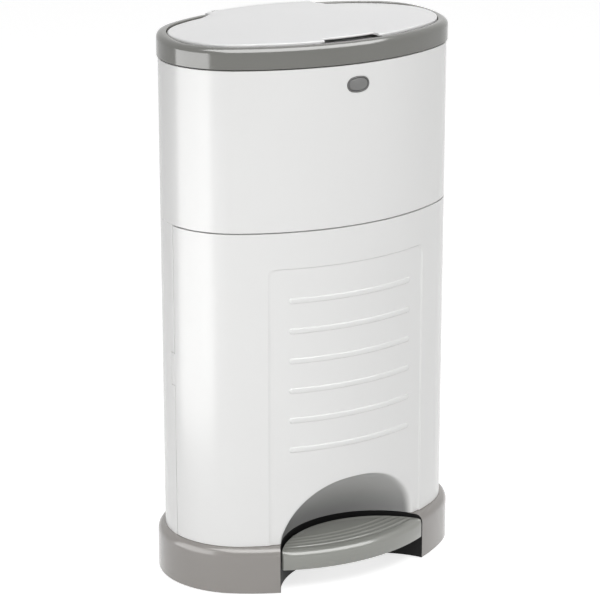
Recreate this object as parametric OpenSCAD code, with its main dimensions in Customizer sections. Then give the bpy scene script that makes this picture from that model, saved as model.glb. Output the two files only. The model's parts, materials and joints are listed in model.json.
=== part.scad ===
// Pedal bin for nappies: a white oval body on a grey plinth, with a foot pedal, a lid that the
// pedal lifts through a rod, a refill ring under a funnel with two trap flaps, and a front door.
// Plan shapes are ovals of four true arcs. Z is up, the front faces -Y, the floor is z = 0.

/* [Body] */
// Width of the white body
body_w = 304.5; // [290:0.5:325]
// Depth of the white body
body_d = 194; // [184:0.5:210]
// Plan radius of the rounded ends of the body
end_r = 77; // [70:0.5:84]
// Wall of the moulded shells
wall = 3; // [2.4:0.1:3.6]
// Height of the door and of the rear shell
lower_h = 321; // [300:1:350]
// Height of the upper shell
upper_h = 157; // [145:1:180]
// Gap of the seams between mouldings
seam = 1.2; // [0.8:0.1:1.6]
// Play left between a moving piece and its surroundings
play = 0.4; // [0.3:0.05:0.6]
// Radial play of a pin in its bore
run_fit = 0.05; // [0.02:0.01:0.08]

/* [Plinth] */
// Height of the plinth
base_h = 47.5; // [46:0.5:54]
// How far the plinth stands out at the sides
base_side = 7.5; // [5:0.5:10]
// How far the plinth stands out at the front and the back
base_front = 12.58; // [10:0.01:14]
// Wall of the plinth
base_wall = 3; // [2.5:0.1:4]
// Height of the rounded shoulder of the plinth
shoulder_h = 8; // [6:0.5:9]
// Height of the rubber feet
foot_h = 1; // [0.8:0.1:1.6]
// Radius of the rubber feet
foot_r = 9; // [7:0.5:11]

/* [Pedal] */
// Width of the pedal tread
tread_w = 164.8; // [150:0.2:170]
// Gap between the pedal's ends and the plinth
tread_gap = 2; // [1.5:0.1:3]
// Depth of the front edge of the pedal in front of the body's axis
tread_front = 113; // [111:0.5:116]
// Depth of the rear edge of the pedal at its middle
tread_rear = 46.5; // [46:0.5:52]
// Height of the pedal's underside
tread_low = 25; // [24:0.5:27]
// Height of the pedal's top
tread_top = 45; // [43:0.5:45.5]
// Wall of the pedal
tread_wall = 3; // [2.5:0.1:4]
// Height of the grip ridges on the pedal
ridge_h = 0.9; // [0.5:0.1:1.2]
// Number of grip ridges
ridge_n = 4; // [2:1:5]
// Depth of the pedal's corners at its front edge
tread_corner = 93.5; // [92.5:0.5:95]
// Depth of the pedal's corners at its rear edge
tread_rear_corner = 89.6; // [89.6:0.1:90.4]
// Depth of the toe recess in the plinth at its middle
recess_rear = 41.5; // [41:0.5:43]
// Depth of the toe recess at its corners
recess_corner = 91; // [90:0.5:92]
// Depth at which the pedal pivots
pivot_y = -24; // [-28:0.5:-18]
// Height of the pedal's pivot
pivot_z = 22; // [20:0.5:24]
// Radius of the pedal's pivot pin
pivot_pin_r = 3; // [2.5:0.1:3.5]
// Height of the lever's nose centre at rest
nose_z = 9.5; // [9:0.5:11]
// Radius of the nose that lifts the rod
nose_r = 5; // [4:0.5:6]

/* [Door] */
// Height of the arch over the pedal above the plinth
arch_h = 63.5; // [50:0.5:70]
// Width of the recessed panel
panel_w = 180; // [150:1:190]
// Height of the recessed panel's top edge above the plinth
panel_top = 284.5; // [270:0.5:300]
// Depth of the recessed panel
panel_sink = 1.4; // [0.8:0.1:1.6]
// Number of ribs on the panel
rib_n = 6; // [3:1:7]
// Distance from rib to rib
rib_pitch = 30.5; // [24:0.5:32]
// Height of the lowest rib's centre above the plinth
rib_low = 99; // [95:0.5:110]
// Length of the ribs
rib_len = 141; // [110:1:150]
// Height of a rib's face
rib_h = 5.6; // [4:0.2:8]
// Radius of the door's hinge barrel
hinge_r = 5; // [4.5:0.1:5.5]
// Radius of the door's hinge pins
hinge_pin_r = 2; // [1.5:0.1:2.5]
// Angle round the end at which the door's hinge stands
hinge_angle = 7.5; // [7:0.5:10]
// Height of the door's release tab
tab_h = 33; // [25:1:40]
// Height of the middle of the release tab above the plinth
tab_mid = 174; // [150:1:200]
// Travel of the release tab
tab_travel = 3; // [2:0.5:4]

/* [Collar] */
// Height of the grey collar
collar_h = 21.5; // [20:0.5:26]
// How far the collar stands out over the body
collar_over = 1.3; // [0.8:0.1:1.6]
// Radius of the collar's rounded top edge
collar_round = 5.5; // [4:0.5:7]
// Width of the collar's top, from the body's outline to the lid
rim_w = 8.6; // [8:0.2:10]
// Wall of the collar
collar_wall = 2.5; // [2:0.1:3]
// Depth of the lid's seat below the collar's top
seat_drop = 5.7; // [5:0.1:6.5]
// Distance from the body's outline to the mouth of the funnel
mouth_in = 22; // [21.5:0.5:26]
// Distance from the body's outline to the funnel's throat
throat_in = 50; // [48:0.5:54]
// Height of the sloping part of the funnel
funnel_h = 60; // [45:1:64]
// Height of the straight throat of the funnel
throat_h = 22; // [16:1:26]
// Wall of the funnel
funnel_wall = 2.2; // [1.8:0.1:2.6]
// Radius of the knuckles that join the collar to the body
knuckle_r = 4.5; // [4:0.1:5]
// Radius of the pins of those knuckles
knuckle_pin_r = 2; // [1.5:0.1:2.4]

/* [Trap flaps] */
// Width of the trap's window
trap_w = 112; // [100:1:116]
// Depth of the trap's window
trap_d = 66; // [60:1:68]
// Thickness of a flap
flap_t = 2; // [1.5:0.1:2.4]
// Radius of a flap's pin
flap_pin_r = 1.2; // [1:0.1:1.4]

/* [Lid] */
// Rise of the lid's dome above the collar
lid_rise = 7.5; // [6:0.5:9]
// Height of the lid's edge above the collar
lid_edge = 2.2; // [1.6:0.1:3]
// Gap between the lid and the collar
lid_gap = 1; // [0.8:0.1:1.4]
// Wall of the lid
lid_wall = 2.4; // [2:0.1:3]
// Width of the raised cap over the lid's hinge
cap_w = 126; // [110:1:132]
// Height of the cap's rear edge over the collar
cap_rise = 5.2; // [4.6:0.1:6]
// Radius of the lid's hinge knuckles
lid_knuckle_r = 3.6; // [3.2:0.1:3.8]
// Radius of the lid's hinge pins
lid_pin_r = 1.6; // [1.2:0.1:1.8]
// Angle through which the lid opens
lid_open = 80; // [70:1:85]
// Radius of the lid's crank
crank_r = 17; // [16.5:0.1:17.5]
// Radius of the crank's pin
crank_pin_r = 2.5; // [2:0.1:3]
// Length of the finger slot
slot_w = 62; // [50:1:70]
// Width of the finger slot
slot_d = 7.4; // [6.5:0.1:8]

/* [Rod] */
// Radius of the lifting rod
rod_r = 3; // [2.5:0.1:3.5]
// Play between the rod's ends and what they push, for the crank's curved path
rod_slack = 0.45; // [0.4:0.05:0.6]
// Outer radius of the return spring
coil_r = 5.2; // [5:0.1:5.4]
// Radius of the return spring's wire
wire_r = 0.7; // [0.6:0.05:0.8]

/* [Refill] */
// Height of the refill ring's case
case_h = 26; // [20:1:27]
// Distance from the body's outline to the case
case_in = 28; // [27:0.5:32]
// Distance from the body's outline to the hole of the case
case_hole_in = 48; // [47:0.5:50]
// Wall of the case
case_wall = 1.6; // [1.2:0.1:2]
// Thickness of the tray under the case
tray_t = 3; // [2:0.5:4]

/* [Release button] */
// Width of the button's face
button_w = 21; // [18:0.5:24]
// Height of the button's face
button_h = 12; // [10:0.5:14]
// Width of the dark ring round the button
bezel_t = 1.7; // [1.2:0.1:2.4]
// Height of the button below the collar
button_drop = 19.5; // [18:0.5:24]
// Travel of the button
button_travel = 4; // [3:0.5:5]

/* [Hidden] */

$fn = 96;
arc_fn = 288;
eps = 0.01;
far = 600;

white = [0.91, 0.91, 0.90];
lid_white = [0.90, 0.90, 0.90];
collar_grey = [0.46, 0.46, 0.44];
plinth_grey = [0.59, 0.58, 0.56];
pedal_grey = [0.63, 0.63, 0.61];
inner_grey = [0.72, 0.73, 0.73];
dark = [0.12, 0.12, 0.12];
steel = [0.70, 0.71, 0.72];
film_blue = [0.75, 0.82, 0.86];

// An oval is [end centre x, half depth, end radius]. Its long sides are arcs about (0, +-big_y).
function big_rad(o) = (o[0] * o[0] + o[1] * o[1] - o[2] * o[2]) / (2 * (o[1] - o[2]));
function big_y(o) = big_rad(o) - o[1];
function join_a(o) = atan2(big_y(o), o[0]);
function grow(o, d) = [o[0], o[1] + d, o[2] + d];
function side_y(o, x) = sqrt(big_rad(o) * big_rad(o) - x * x) - big_y(o);

half_w = body_w / 2;
half_d = body_d / 2;
shell = [half_w - end_r, half_d, end_r];
plinth = [half_w - end_r, half_d + base_front, end_r + base_side];

// Heights of the stack
seam_z = base_h + lower_h;
collar_z = seam_z + upper_h;
rim_z = collar_z + collar_h;
top_z = rim_z + lid_rise;
seat_z = rim_z - seat_drop;
deck_t = 3;
deck_z = base_h - deck_t;
deck_drop = 0.4;
base_ledge = base_front + wall + 1;

// Toe recess of the plinth: an upright cylinder through the recess middle and the tread's corners
recess_half = tread_w / 2 + tread_gap;
recess_rise = recess_corner - recess_rear;
recess_r = (recess_half * recess_half + recess_rise * recess_rise) / (2 * recess_rise);
recess_y = -recess_rear - recess_r;

// Tread: between a front arc and a rear arc
tread_half = tread_w / 2;
front_rise = tread_front - tread_corner;
front_r = (tread_half * tread_half + front_rise * front_rise) / (2 * front_rise);
rear_rise = tread_rear_corner - tread_rear;
rear_r = (tread_half * tread_half + rear_rise * rear_rise) / (2 * rear_rise);

// Lid hinge, crank and rod
lid_y = half_d + collar_over + 0.6 + lid_knuckle_r;
lid_z = rim_z - 1.5;
crank_y = lid_y - crank_r * cos(lid_open / 2);
crank_z = lid_z - crank_r * sin(lid_open / 2);
rod_y = lid_y - crank_r * (1 + cos(lid_open / 2)) / 2;
rod_lift = 2 * crank_r * sin(lid_open / 2);
rod_top = crank_z - crank_pin_r - rod_slack;
rod_bottom = nose_z + nose_r + rod_slack;
head_h = 8;
head_r = 3.4;
head_w = 14;
foot_disc_h = 3;
lever_len = rod_y - pivot_y;
lever_reach = sqrt(lever_len * lever_len + (pivot_z - nose_z) * (pivot_z - nose_z));
pedal_swing = asin((nose_z - pivot_z + rod_lift) / lever_reach) - asin((nose_z - pivot_z) / lever_reach);
arm_x = 45;
arm_t = 8;
arm_h = 8;
arm_lap = 14;
boss_r = pivot_pin_r + 3.5;
beam_t = 12;
bracket_gap = 1;
bracket_t = 6;

// Guides and spring of the rod
guide_r = rod_r + 3.5;
clip_z = base_h + 16;
clip_h = 2.5;
spring_top = base_h + 84;
guide_h = 8;
guide_high = collar_z - 26;
guide_zs = [base_h, spring_top, seam_z - 60, guide_high];
spring_coils = 9;

// Collar hinge at the rear
knuckle_gap = 1.4;
fold_y = half_d + collar_over + knuckle_gap + knuckle_r;
fold_z = collar_z + 2;
knuckle_x = 34;
knuckle_l = 10;

// Door hinge and seams
door_y = -4.8;
shell_y = -3.6;
hinge_x = shell[0] + (end_r - hinge_r) * cos(hinge_angle);
hinge_y = -(end_r - hinge_r) * sin(hinge_angle);
door_low = base_h + play;
door_high = seam_z - seam;
// Lowest and highest point of each of the rear shell's hinge knuckles
lugs = [[base_h + play * 1.5, base_h + 14], [base_h + 150, base_h + 164], [door_high - 14, door_high]];
panel_r = 9;
door_wall = wall + 0.2;

// Toe arch in the door: a surface of revolution about the recess axis
arch_in = 38;
arch_steps = 12;
arch_wall = 2.6;
function arch_z(u) = door_low + arch_h * pow(1 - u * u, 0.7);
function arch_curve(d) = [for (i = [0:arch_steps])
    let (u = i / arch_steps) [arch_in + (recess_r - arch_in) * u + d, arch_z(u) + (i == arch_steps ? 0 : d)]];

// Funnel and trap
mouth_z = seat_z - collar_wall;
spout_z = mouth_z - 3 - funnel_h - throat_h;
frame_t = 3;
flap_y = trap_d / 2 + 3.2;
flap_knuckle_r = flap_t + 0.4;
flap_z = spout_z - frame_t - play - flap_knuckle_r;
flap_w = trap_w - 4;
trap_lug = 3;
cassette_z = flap_z - flap_knuckle_r - 5.5 - case_h;

// Button
button_z = collar_z - button_drop;
button_end = button_h / 2 - 0.8;
button_oval = [button_w / 2 - button_end, button_h / 2, button_end];
prong_x = 7;
prong_w = 6;
prong_t = 2.5;
prong_y = half_d - 9.5;
hook_d = 4;
bar_t = 3.5;
bar_y = prong_y - prong_t - hook_d - play;
guide_back = bar_y - bar_t - 2 * button_travel;

// Rounded corner from (x0, z0) straight up to level: a quarter ellipse of width w and height h
function corner(x0, z0, w, h, n = 6) =
    [for (i = [0:n]) let (a = 90 * i / n) [x0 - w * (1 - cos(a)), z0 + h * sin(a)]];

// Sweeps a profile of (offset from the outline, height) round the whole oval
module oval_sweep(o) {
    a = join_a(o);
    for (s = [0, 180]) rotate([0, 0, s]) {
        translate([o[0], 0, 0]) rotate([0, 0, -a])
            rotate_extrude(angle = 2 * a) translate([o[2], 0]) children();
        translate([0, big_y(o), 0]) rotate([0, 0, a - 180])
            rotate_extrude(angle = 180 - 2 * a, $fn = arc_fn) translate([big_rad(o), 0]) children();
    }
}

// Sweeps a profile round the front arc only, for a length of w along X
module front_sweep(o, w) {
    a = asin(w / 2 / big_rad(o));
    translate([0, big_y(o), 0]) rotate([0, 0, -90 - a])
        rotate_extrude(angle = 2 * a, $fn = arc_fn) translate([big_rad(o), 0]) children();
}

// Wall between two offsets of the outline, from z0 to z1
module oval_wall(o, out, in, z0, z1) {
    oval_sweep(o) translate([in, z0]) square([out - in, z1 - z0]);
}

// Filled oval plate
module oval_plate(o, z0, h) {
    a = join_a(o);
    translate([0, 0, z0]) for (s = [0, 180]) rotate([0, 0, s]) {
        translate([o[0], 0, 0]) rotate([0, 0, -a]) rotate_extrude(angle = 2 * a) square([o[2], h]);
        intersection() {
            translate([0, big_y(o), 0]) rotate([0, 0, a - 180])
                rotate_extrude(angle = 180 - 2 * a, $fn = arc_fn) square([big_rad(o), h]);
            translate([-far / 2, -far / 2, -1]) cube([far, far / 2, h + 2]);
        }
    }
}

// Box from low corner to high corner
module block(lo, hi) {
    translate(lo) cube([hi[0] - lo[0], hi[1] - lo[1], hi[2] - lo[2]]);
}

// Cylinder along X from x0 to x1 about (y, z)
module rod_x(r, x0, x1, y, z) {
    translate([x0, y, z]) rotate([0, 90, 0]) cylinder(r = r, h = x1 - x0, $fn = 48);
}

// Oval of four arcs lying in the X-Z plane, grown by d, from depth y0 towards the front
module face_oval(d, y0, len) {
    translate([0, y0, button_z]) rotate([90, 0, 0]) oval_plate(grow(button_oval, d), 0, len);
}

// Coil of round wire as one swept tube
function coil_point(r, z0, h, n, t) = [r * cos(360 * n * t), r * sin(360 * n * t), z0 + h * t];
module coil(r, wire, z0, h, n) {
    steps = 12 * n;
    sides = 6;
    pts = [for (i = [0:steps], k = [0:sides - 1])
        let (t = i / steps, a = 360 * k / sides, q = r + wire * cos(a))
        coil_point(q, z0 + wire * sin(a), h, n, t)];
    ends = [[for (k = [0:sides - 1]) k], [for (k = [sides - 1:-1:0]) steps * sides + k]];
    walls = [for (i = [0:steps - 1], k = [0:sides - 1])
        let (k2 = (k + 1) % sides)
        each [[i * sides + k, (i + 1) * sides + k, (i + 1) * sides + k2],
            [i * sides + k, (i + 1) * sides + k2, i * sides + k2]]];
    polyhedron(points = pts, faces = concat(ends, walls), convexity = 10);
}

foot_spots = [[-shell[0] - 37, 40], [shell[0] + 37, 40], [-shell[0] - 34, -48], [shell[0] + 34, -48]];
screw_r = 2;
screw_boss_r = 5;
screw_reach = end_r - wall - screw_boss_r + 1;
// Screw places: on which end, and at what angle round it
screw_places = [[-1, 12], [-1, 58], [1, 20], [1, 58]];
screw_spots = [for (p = screw_places)
    [p[0] * (shell[0] + screw_reach * cos(p[1])), screw_reach * sin(p[1])]];

module base_plinth() color(plinth_grey) difference() {
    union() {
        oval_sweep(plinth) polygon(concat(
            [[-base_wall, foot_h], [0, foot_h]],
            corner(0, base_h - shoulder_h, base_side - 0.2, shoulder_h),
            [[-base_ledge, base_h], [-base_ledge, deck_z], [-base_wall - 2, deck_z - 3],
                [-base_wall, base_h - shoulder_h - 2]]));
        oval_plate(grow(plinth, -base_ledge + 2), deck_z - deck_drop, deck_t);
        intersection() {
            translate([0, recess_y, foot_h]) cylinder(r = recess_r + base_wall, h = deck_z + 1 - foot_h);
            oval_plate(grow(plinth, -1), 0, base_h);
            block([-far / 2, -far / 2, 0], [far / 2, 0, base_h]);
        }
        for (s = [-1, 1]) {
            bx = s * (arm_x + arm_t / 2 + bracket_gap + bracket_t / 2);
            block([bx - bracket_t / 2, pivot_y - 10, foot_h + 4],
                [bx + bracket_t / 2, pivot_y + 10, deck_z + 1]);
        }
        for (p = screw_spots) translate([p[0], p[1], foot_h + 12])
            cylinder(r = screw_boss_r, h = deck_z - foot_h - 11);
        for (p = foot_spots) translate([p[0], p[1], foot_h])
            cylinder(r = foot_r + 2, h = deck_z + 1 - foot_h);
    }
    translate([0, recess_y, -1]) cylinder(r = recess_r, h = base_h + 2);
    for (s = [-1, 1]) block([s * arm_x - arm_t / 2 - 1, -far / 4, foot_h + 3],
        [s * arm_x + arm_t / 2 + 1, pivot_y - 12, deck_z]);
    rod_x(pivot_pin_r + run_fit, -80, 80, pivot_y, pivot_z);
    translate([0, rod_y, deck_z - 1]) cylinder(r = rod_r + 1, h = deck_t + 2, $fn = 48);
    for (p = screw_spots) translate([p[0], p[1], foot_h])
        cylinder(r = screw_r + play / 2, h = base_h, $fn = 32);
}

module rubber_feet() color(dark) for (p = foot_spots) translate([p[0], p[1], 0])
    cylinder(r = foot_r, h = foot_h);

screw_head_h = 2.4;
module base_screws() color(steel) for (p = screw_spots)
    translate([p[0], p[1], foot_h + 12 - screw_head_h]) {
    cylinder(r = screw_r * 2, h = screw_head_h, $fn = 32);
    cylinder(r = screw_r, h = base_h + 10 - foot_h - 12 + screw_head_h, $fn = 32);
}

// Solid tread: d shrinks the outline for the hollow beneath
module tread_body(d, top, low) {
    intersection() {
        translate([0, front_r - tread_front, 0]) rotate_extrude($fn = 192) polygon(concat(
            [[0, low]], [[front_r - d, low]],
            corner(front_r - d, top - 6, 9, 5, 5),
            [for (i = [0:ridge_n - 1]) each [
                [front_r - d - 12 - 8 * i, top - 1],
                    [front_r - d - 13.5 - 8 * i, top - 1 + (d > 0 ? 0 : ridge_h)],
                [front_r - d - 15 - 8 * i, top - 1 + (d > 0 ? 0 : ridge_h)],
                    [front_r - d - 16.5 - 8 * i, top - 1]]],
            [[0, top - 1]]));
        translate([0, -tread_rear - rear_r, low - 1])
            cylinder(r = rear_r - d, h = top - low + 2, $fn = 192);
        block([-tread_half + d, -far / 2, low - 1], [tread_half - d, 0, top + 1]);
    }
}

arm_top = tread_top - tread_wall - 1 - play / 4;
arm_front = -tread_front + 22;
module pedal_tread() color(pedal_grey) difference() {
    tread_body(0, tread_top, tread_low);
    tread_body(tread_wall, tread_top - tread_wall, tread_low - 1);
    for (s = [-1, 1]) block([s * arm_x - arm_t / 2 - play / 2, -tread_rear - 20, tread_low - 1],
        [s * arm_x + arm_t / 2 + play / 2, -tread_rear + 1, arm_top + play / 4]);
}

module pedal_lever() color(dark) difference() {
    union() {
        for (s = [-1, 1]) {
            translate([s * arm_x - arm_t / 2, 0, 0]) rotate([90, 0, 90]) linear_extrude(arm_t) polygon([
                [arm_front, arm_top - arm_h + 2], [arm_front, arm_top], [arm_front + arm_lap * 2, arm_top],
                [-recess_rear - 4, arm_top - 4], [pivot_y, pivot_z + 5], [pivot_y, pivot_z - 5],
                [-recess_rear - 10, pivot_z - 2]]);
        }
        rod_x(boss_r, -arm_x - arm_t / 2, arm_x + arm_t / 2, pivot_y, pivot_z);
        translate([-beam_t / 2, 0, 0]) rotate([90, 0, 90]) linear_extrude(beam_t) polygon([
            [pivot_y, pivot_z + 5], [rod_y, nose_z + nose_r - 1], [rod_y, nose_z - nose_r + 1],
                [pivot_y, pivot_z - 5]]);
        rod_x(nose_r, -beam_t / 2, beam_t / 2, rod_y, nose_z);
    }
    rod_x(pivot_pin_r + run_fit, -80, 80, pivot_y, pivot_z);
}

module pedal_pivot_pin() color(steel) {
    reach = arm_x + arm_t / 2 + bracket_gap + bracket_t + 2;
    rod_x(pivot_pin_r, -reach, reach, pivot_y, pivot_z);
}

module push_rod() color(steel) translate([0, rod_y, rod_bottom + 1])
    cylinder(r = rod_r, h = rod_top - 3 - rod_bottom - 1, $fn = 48);

module rod_head() color(dark) difference() {
    block([-head_w / 2, rod_y - head_r, rod_top - head_h], [head_w / 2, rod_y + head_r, rod_top]);
    translate([0, rod_y, rod_top - head_h - 1]) cylinder(r = rod_r, h = head_h - 2, $fn = 48);
}

module rod_foot() color(dark) difference() {
    translate([0, rod_y, rod_bottom]) cylinder(r = rod_r + 4, h = foot_disc_h + 4, $fn = 48);
    translate([0, rod_y, rod_bottom + 1]) cylinder(r = rod_r, h = foot_disc_h + 4, $fn = 48);
}

module rod_clip() color(steel) difference() {
    translate([0, rod_y, clip_z]) cylinder(r = coil_r + 0.5, h = clip_h, $fn = 48);
    translate([0, rod_y, clip_z - 1]) cylinder(r = rod_r, h = clip_h + 2, $fn = 48);
}

module return_spring() color(steel) translate([0, rod_y, 0])
    coil(coil_r - wire_r, wire_r, clip_z + clip_h + wire_r + play / 2,
        spring_top - clip_z - clip_h - 2 * wire_r - play, spring_coils);

module rod_guides() color(inner_grey) for (z = guide_zs) difference() {
    intersection() {
        union() {
            translate([0, rod_y, z]) cylinder(r = guide_r, h = guide_h, $fn = 48);
            block([-guide_r, rod_y, z], [guide_r, far / 2, z + guide_h]);
        }
        oval_plate(grow(shell, -wall), z, guide_h);
    }
    translate([0, rod_y, z - 1]) cylinder(r = rod_r + run_fit, h = guide_h + 2, $fn = 48);
}

cover_w = 30;
cover_t = 2;
module rod_cover() color(white) intersection() {
    difference() {
        block([-cover_w / 2, rod_y - guide_r - play - cover_t, base_h],
            [cover_w / 2, half_d, cassette_z - tray_t - 2]);
        block([-cover_w / 2 + cover_t, rod_y - guide_r - play, base_h - 1],
            [cover_w / 2 - cover_t, half_d + 1, seam_z + 99]);
    }
    oval_plate(grow(shell, -wall), base_h, far);
}

latch_low = base_h + tab_mid - tab_h / 2;
latch_high = base_h + tab_mid + tab_h / 2;
tab_back = 3.4;
tab_reach = 12;
tab_pocket = tab_reach + 4 * tab_travel;
module rear_shell() color(white) difference() {
    union() {
        difference() {
            intersection() {
                oval_wall(shell, 0, -wall, base_h, seam_z);
                block([-far / 2, shell_y, 0], [far / 2, far / 2, far]);
            }
            block([hinge_x - hinge_r - 3, hinge_y - hinge_r - 1, base_h - 1],
                [far / 2, hinge_y + hinge_r + 1, seam_z + 1]);
        }
        for (g = lugs) {
            translate([hinge_x, hinge_y, g[0]]) cylinder(r = hinge_r, h = g[1] - g[0], $fn = 64);
            intersection() {
                block([hinge_x - hinge_r * 0.8, hinge_y, g[0]],
                    [hinge_x + hinge_r, hinge_y + hinge_r + 3, g[1]]);
                oval_plate(shell, g[0], g[1] - g[0]);
            }
        }
        intersection() {
            oval_wall(shell, -wall + eps, -wall - 2.6, base_h, seam_z - 14);
            block([-far / 2, shell_y, 0], [0, shell_y + 14, far]);
        }
        intersection() {
            oval_wall(shell, -door_wall - play, -wall - 2.6, base_h, seam_z - 14);
            block([-far / 2, shell_y - 8, 0], [0, shell_y + 1, far]);
        }
        for (p = screw_spots) translate([p[0], p[1], base_h + play])
            cylinder(r = screw_boss_r, h = 14, $fn = 48);
    }
    for (g = lugs) translate([hinge_x, hinge_y, g[0] - 1])
        cylinder(r = hinge_pin_r + run_fit, h = g[1] - g[0] + 2, $fn = 48);
    block([-far / 2, shell_y - 9, latch_low - play],
        [-half_w + 16, shell_y + tab_back + 3.5, latch_high + play]);
    for (p = screw_spots) translate([p[0], p[1], base_h - 1])
        cylinder(r = screw_r + play / 4, h = 12, $fn = 32);
}

module mid_frame() color(inner_grey) difference() {
    union() {
        oval_wall(shell, -wall, -wall - 3, seam_z, seam_z + 14);
        oval_sweep(shell) translate([-wall - 12, seam_z - 3]) square([12 - play, 3 + eps]);
        oval_sweep(shell) translate([-wall - 3, seam_z - 12]) square([3 - play - 0.2, 12]);
    }
    block([hinge_x - hinge_r - 4, hinge_y - hinge_r - 3, seam_z - 20],
        [far / 2, hinge_y + hinge_r + 3, seam_z - eps]);
    block([-cover_w / 2 - 1, rod_y - guide_r - 4, seam_z - 20], [cover_w / 2 + 1, far / 2, seam_z + 20]);
}

panel_half = panel_w / 2;
module panel_outline(grow_by) {
    r = panel_r + grow_by;
    x = panel_half - panel_r;
    top = base_h + panel_top - panel_r;
    polygon(concat([[panel_half + grow_by, 0]],
        [for (i = [0:6]) let (a = 15 * i) [x + r * cos(a), top + r * sin(a)]],
        [for (i = [0:6]) let (a = 90 + 15 * i) [-x + r * cos(a), top + r * sin(a)]],
        [[-panel_half - grow_by, 0]]));
}

module panel_prism(d) {
    translate([0, -half_d / 2, 0]) rotate([90, 0, 0]) linear_extrude(half_d) panel_outline(d);
}

module rib(z) {
    front_sweep(shell, rib_len) polygon([[-panel_sink - 0.4, z - rib_h / 2],
        [-panel_sink + 0.5, z - rib_h / 2],
        [-0.3, z - rib_h / 2 + 1], [0, z], [-0.3, z + rib_h / 2 - 1], [-panel_sink + 0.5, z + rib_h / 2],
        [-panel_sink - 0.4, z + rib_h / 2]]);
}

catch_y = shell_y - 9;
module front_door() color(white) difference() {
    union() {
        difference() {
            intersection() {
                oval_wall(shell, 0, -door_wall, door_low, door_high);
                union() {
                    block([-far / 2, -far / 2, 0], [0, door_y, far]);
                    block([0, -far / 2, 0], [far / 2, hinge_y, far]);
                }
            }
            intersection() {
                oval_sweep(shell) translate([-panel_sink, 0]) square([panel_sink + 1, seam_z]);
                panel_prism(0);
            }
        }
        for (i = [0:rib_n - 1]) rib(base_h + rib_low + rib_pitch * i);
        intersection() {
            translate([0, recess_y, 0]) rotate_extrude($fn = 192)
                polygon(concat([[0, door_low]], [[0, arch_z(0) + arch_wall]], arch_curve(arch_wall)));
            oval_plate(grow(shell, -1), door_low, lower_h);
            block([-far / 2, -far / 2, 0], [far / 2, 0, far]);
        }
        translate([hinge_x, hinge_y, door_low]) cylinder(r = hinge_r, h = door_high - door_low, $fn = 64);
    }
    translate([0, recess_y, 0]) rotate_extrude($fn = 192)
        polygon(concat([[0, door_low - 5]], [[0, arch_z(0)]], arch_curve(0), [[recess_r, door_low - 5]]));
    for (g = lugs) translate([hinge_x, hinge_y, g[0] - play])
        cylinder(r = hinge_r + play + 0.2, h = g[1] - g[0] + 2 * play, $fn = 64);
    for (g = lugs) block([hinge_x - hinge_r, hinge_y - hinge_r - play, g[0] - play],
        [far / 2, hinge_y + 1, g[1] + play]);
    translate([hinge_x, hinge_y, base_h - 1])
        cylinder(r = hinge_pin_r + run_fit, h = lower_h + 2, $fn = 48);
}

module door_hinge_pins() color(steel) for (g = lugs)
    translate([hinge_x, hinge_y, g == lugs[0] ? g[0] : g[0] - 16])
        cylinder(r = hinge_pin_r, h = g == lugs[1] ? g[1] - g[0] + 32 : g[1] - g[0] + 16, $fn = 48);

cutter_w = 58;
cutter_z = base_h + 250;
cutter_h = 26;
cutter_d = 14;
blade_t = 0.6;
cutter_back = half_d - door_wall - cutter_d;
module cutter_housing() color(inner_grey) difference() {
    intersection() {
        block([-cutter_w / 2, -half_d, cutter_z], [cutter_w / 2, -cutter_back, cutter_z + cutter_h]);
        oval_plate(grow(shell, -door_wall), cutter_z, cutter_h);
    }
    block([-cutter_w / 2 + 8, -cutter_back - 9, cutter_z + 9],
        [cutter_w / 2 + 1, -cutter_back + 1, cutter_z + 13]);
    block([-8, -cutter_back - 9, cutter_z + 4], [-8 + blade_t, -cutter_back - 3, cutter_z + 18]);
}

module cutter_blade() color(steel)
    block([-8, -cutter_back - 9, cutter_z + 4], [-8 + blade_t, -cutter_back - 3, cutter_z + 18]);

tab_t = 3;
module door_latch() color(white) {
    intersection() {
        oval_wall(shell, 0, -tab_t, latch_low, latch_high);
        block([-far / 2, door_y + 0.5, 0], [0, shell_y + tab_back + 3, far]);
    }
    block([-half_w + 2, shell_y, latch_low + 8], [-half_w + tab_reach, shell_y + 5, latch_high - 8]);
    block([-half_w + 8, catch_y - 4, latch_low + 12], [-half_w + tab_reach, shell_y + 5, latch_high - 12]);
}

module latch_guide() color(inner_grey) difference() {
    intersection() {
        block([-half_w + 2, shell_y - 1, latch_low - 3],
            [-half_w + tab_pocket + 2, shell_y + tab_back + 8, latch_high + 3]);
        oval_plate(grow(shell, -wall - 2.6), latch_low - 3, tab_h + 6);
    }
    block([-half_w, shell_y - 2, latch_low - play],
        [-half_w + tab_pocket, shell_y + tab_back + 5, latch_high + play]);
}

latch_wire = 0.4;
module latch_spring() color(steel) 
    translate([-half_w + tab_reach + latch_wire + play / 4, shell_y + 2.5, base_h + tab_mid])
        rotate([0, 90, 0]) coil(3, latch_wire, 0, tab_pocket - tab_reach - 2 * latch_wire - play / 2, 4);

module upper_shell() color(white) difference() {
    union() {
        oval_wall(shell, 0, -wall, seam_z, collar_z);
        for (s = [-1, 1]) fold_bracket(s * (knuckle_x + knuckle_l / 2), -1);
    }
    face_oval(bezel_t, 0, half_d + 5);
    for (s = [-1, 1]) rod_x(knuckle_pin_r + run_fit, s > 0 ? knuckle_x - 9 : -knuckle_x - knuckle_l - 9,
        s > 0 ? knuckle_x + knuckle_l + 9 : -knuckle_x + 9, fold_y, fold_z);
}

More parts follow.
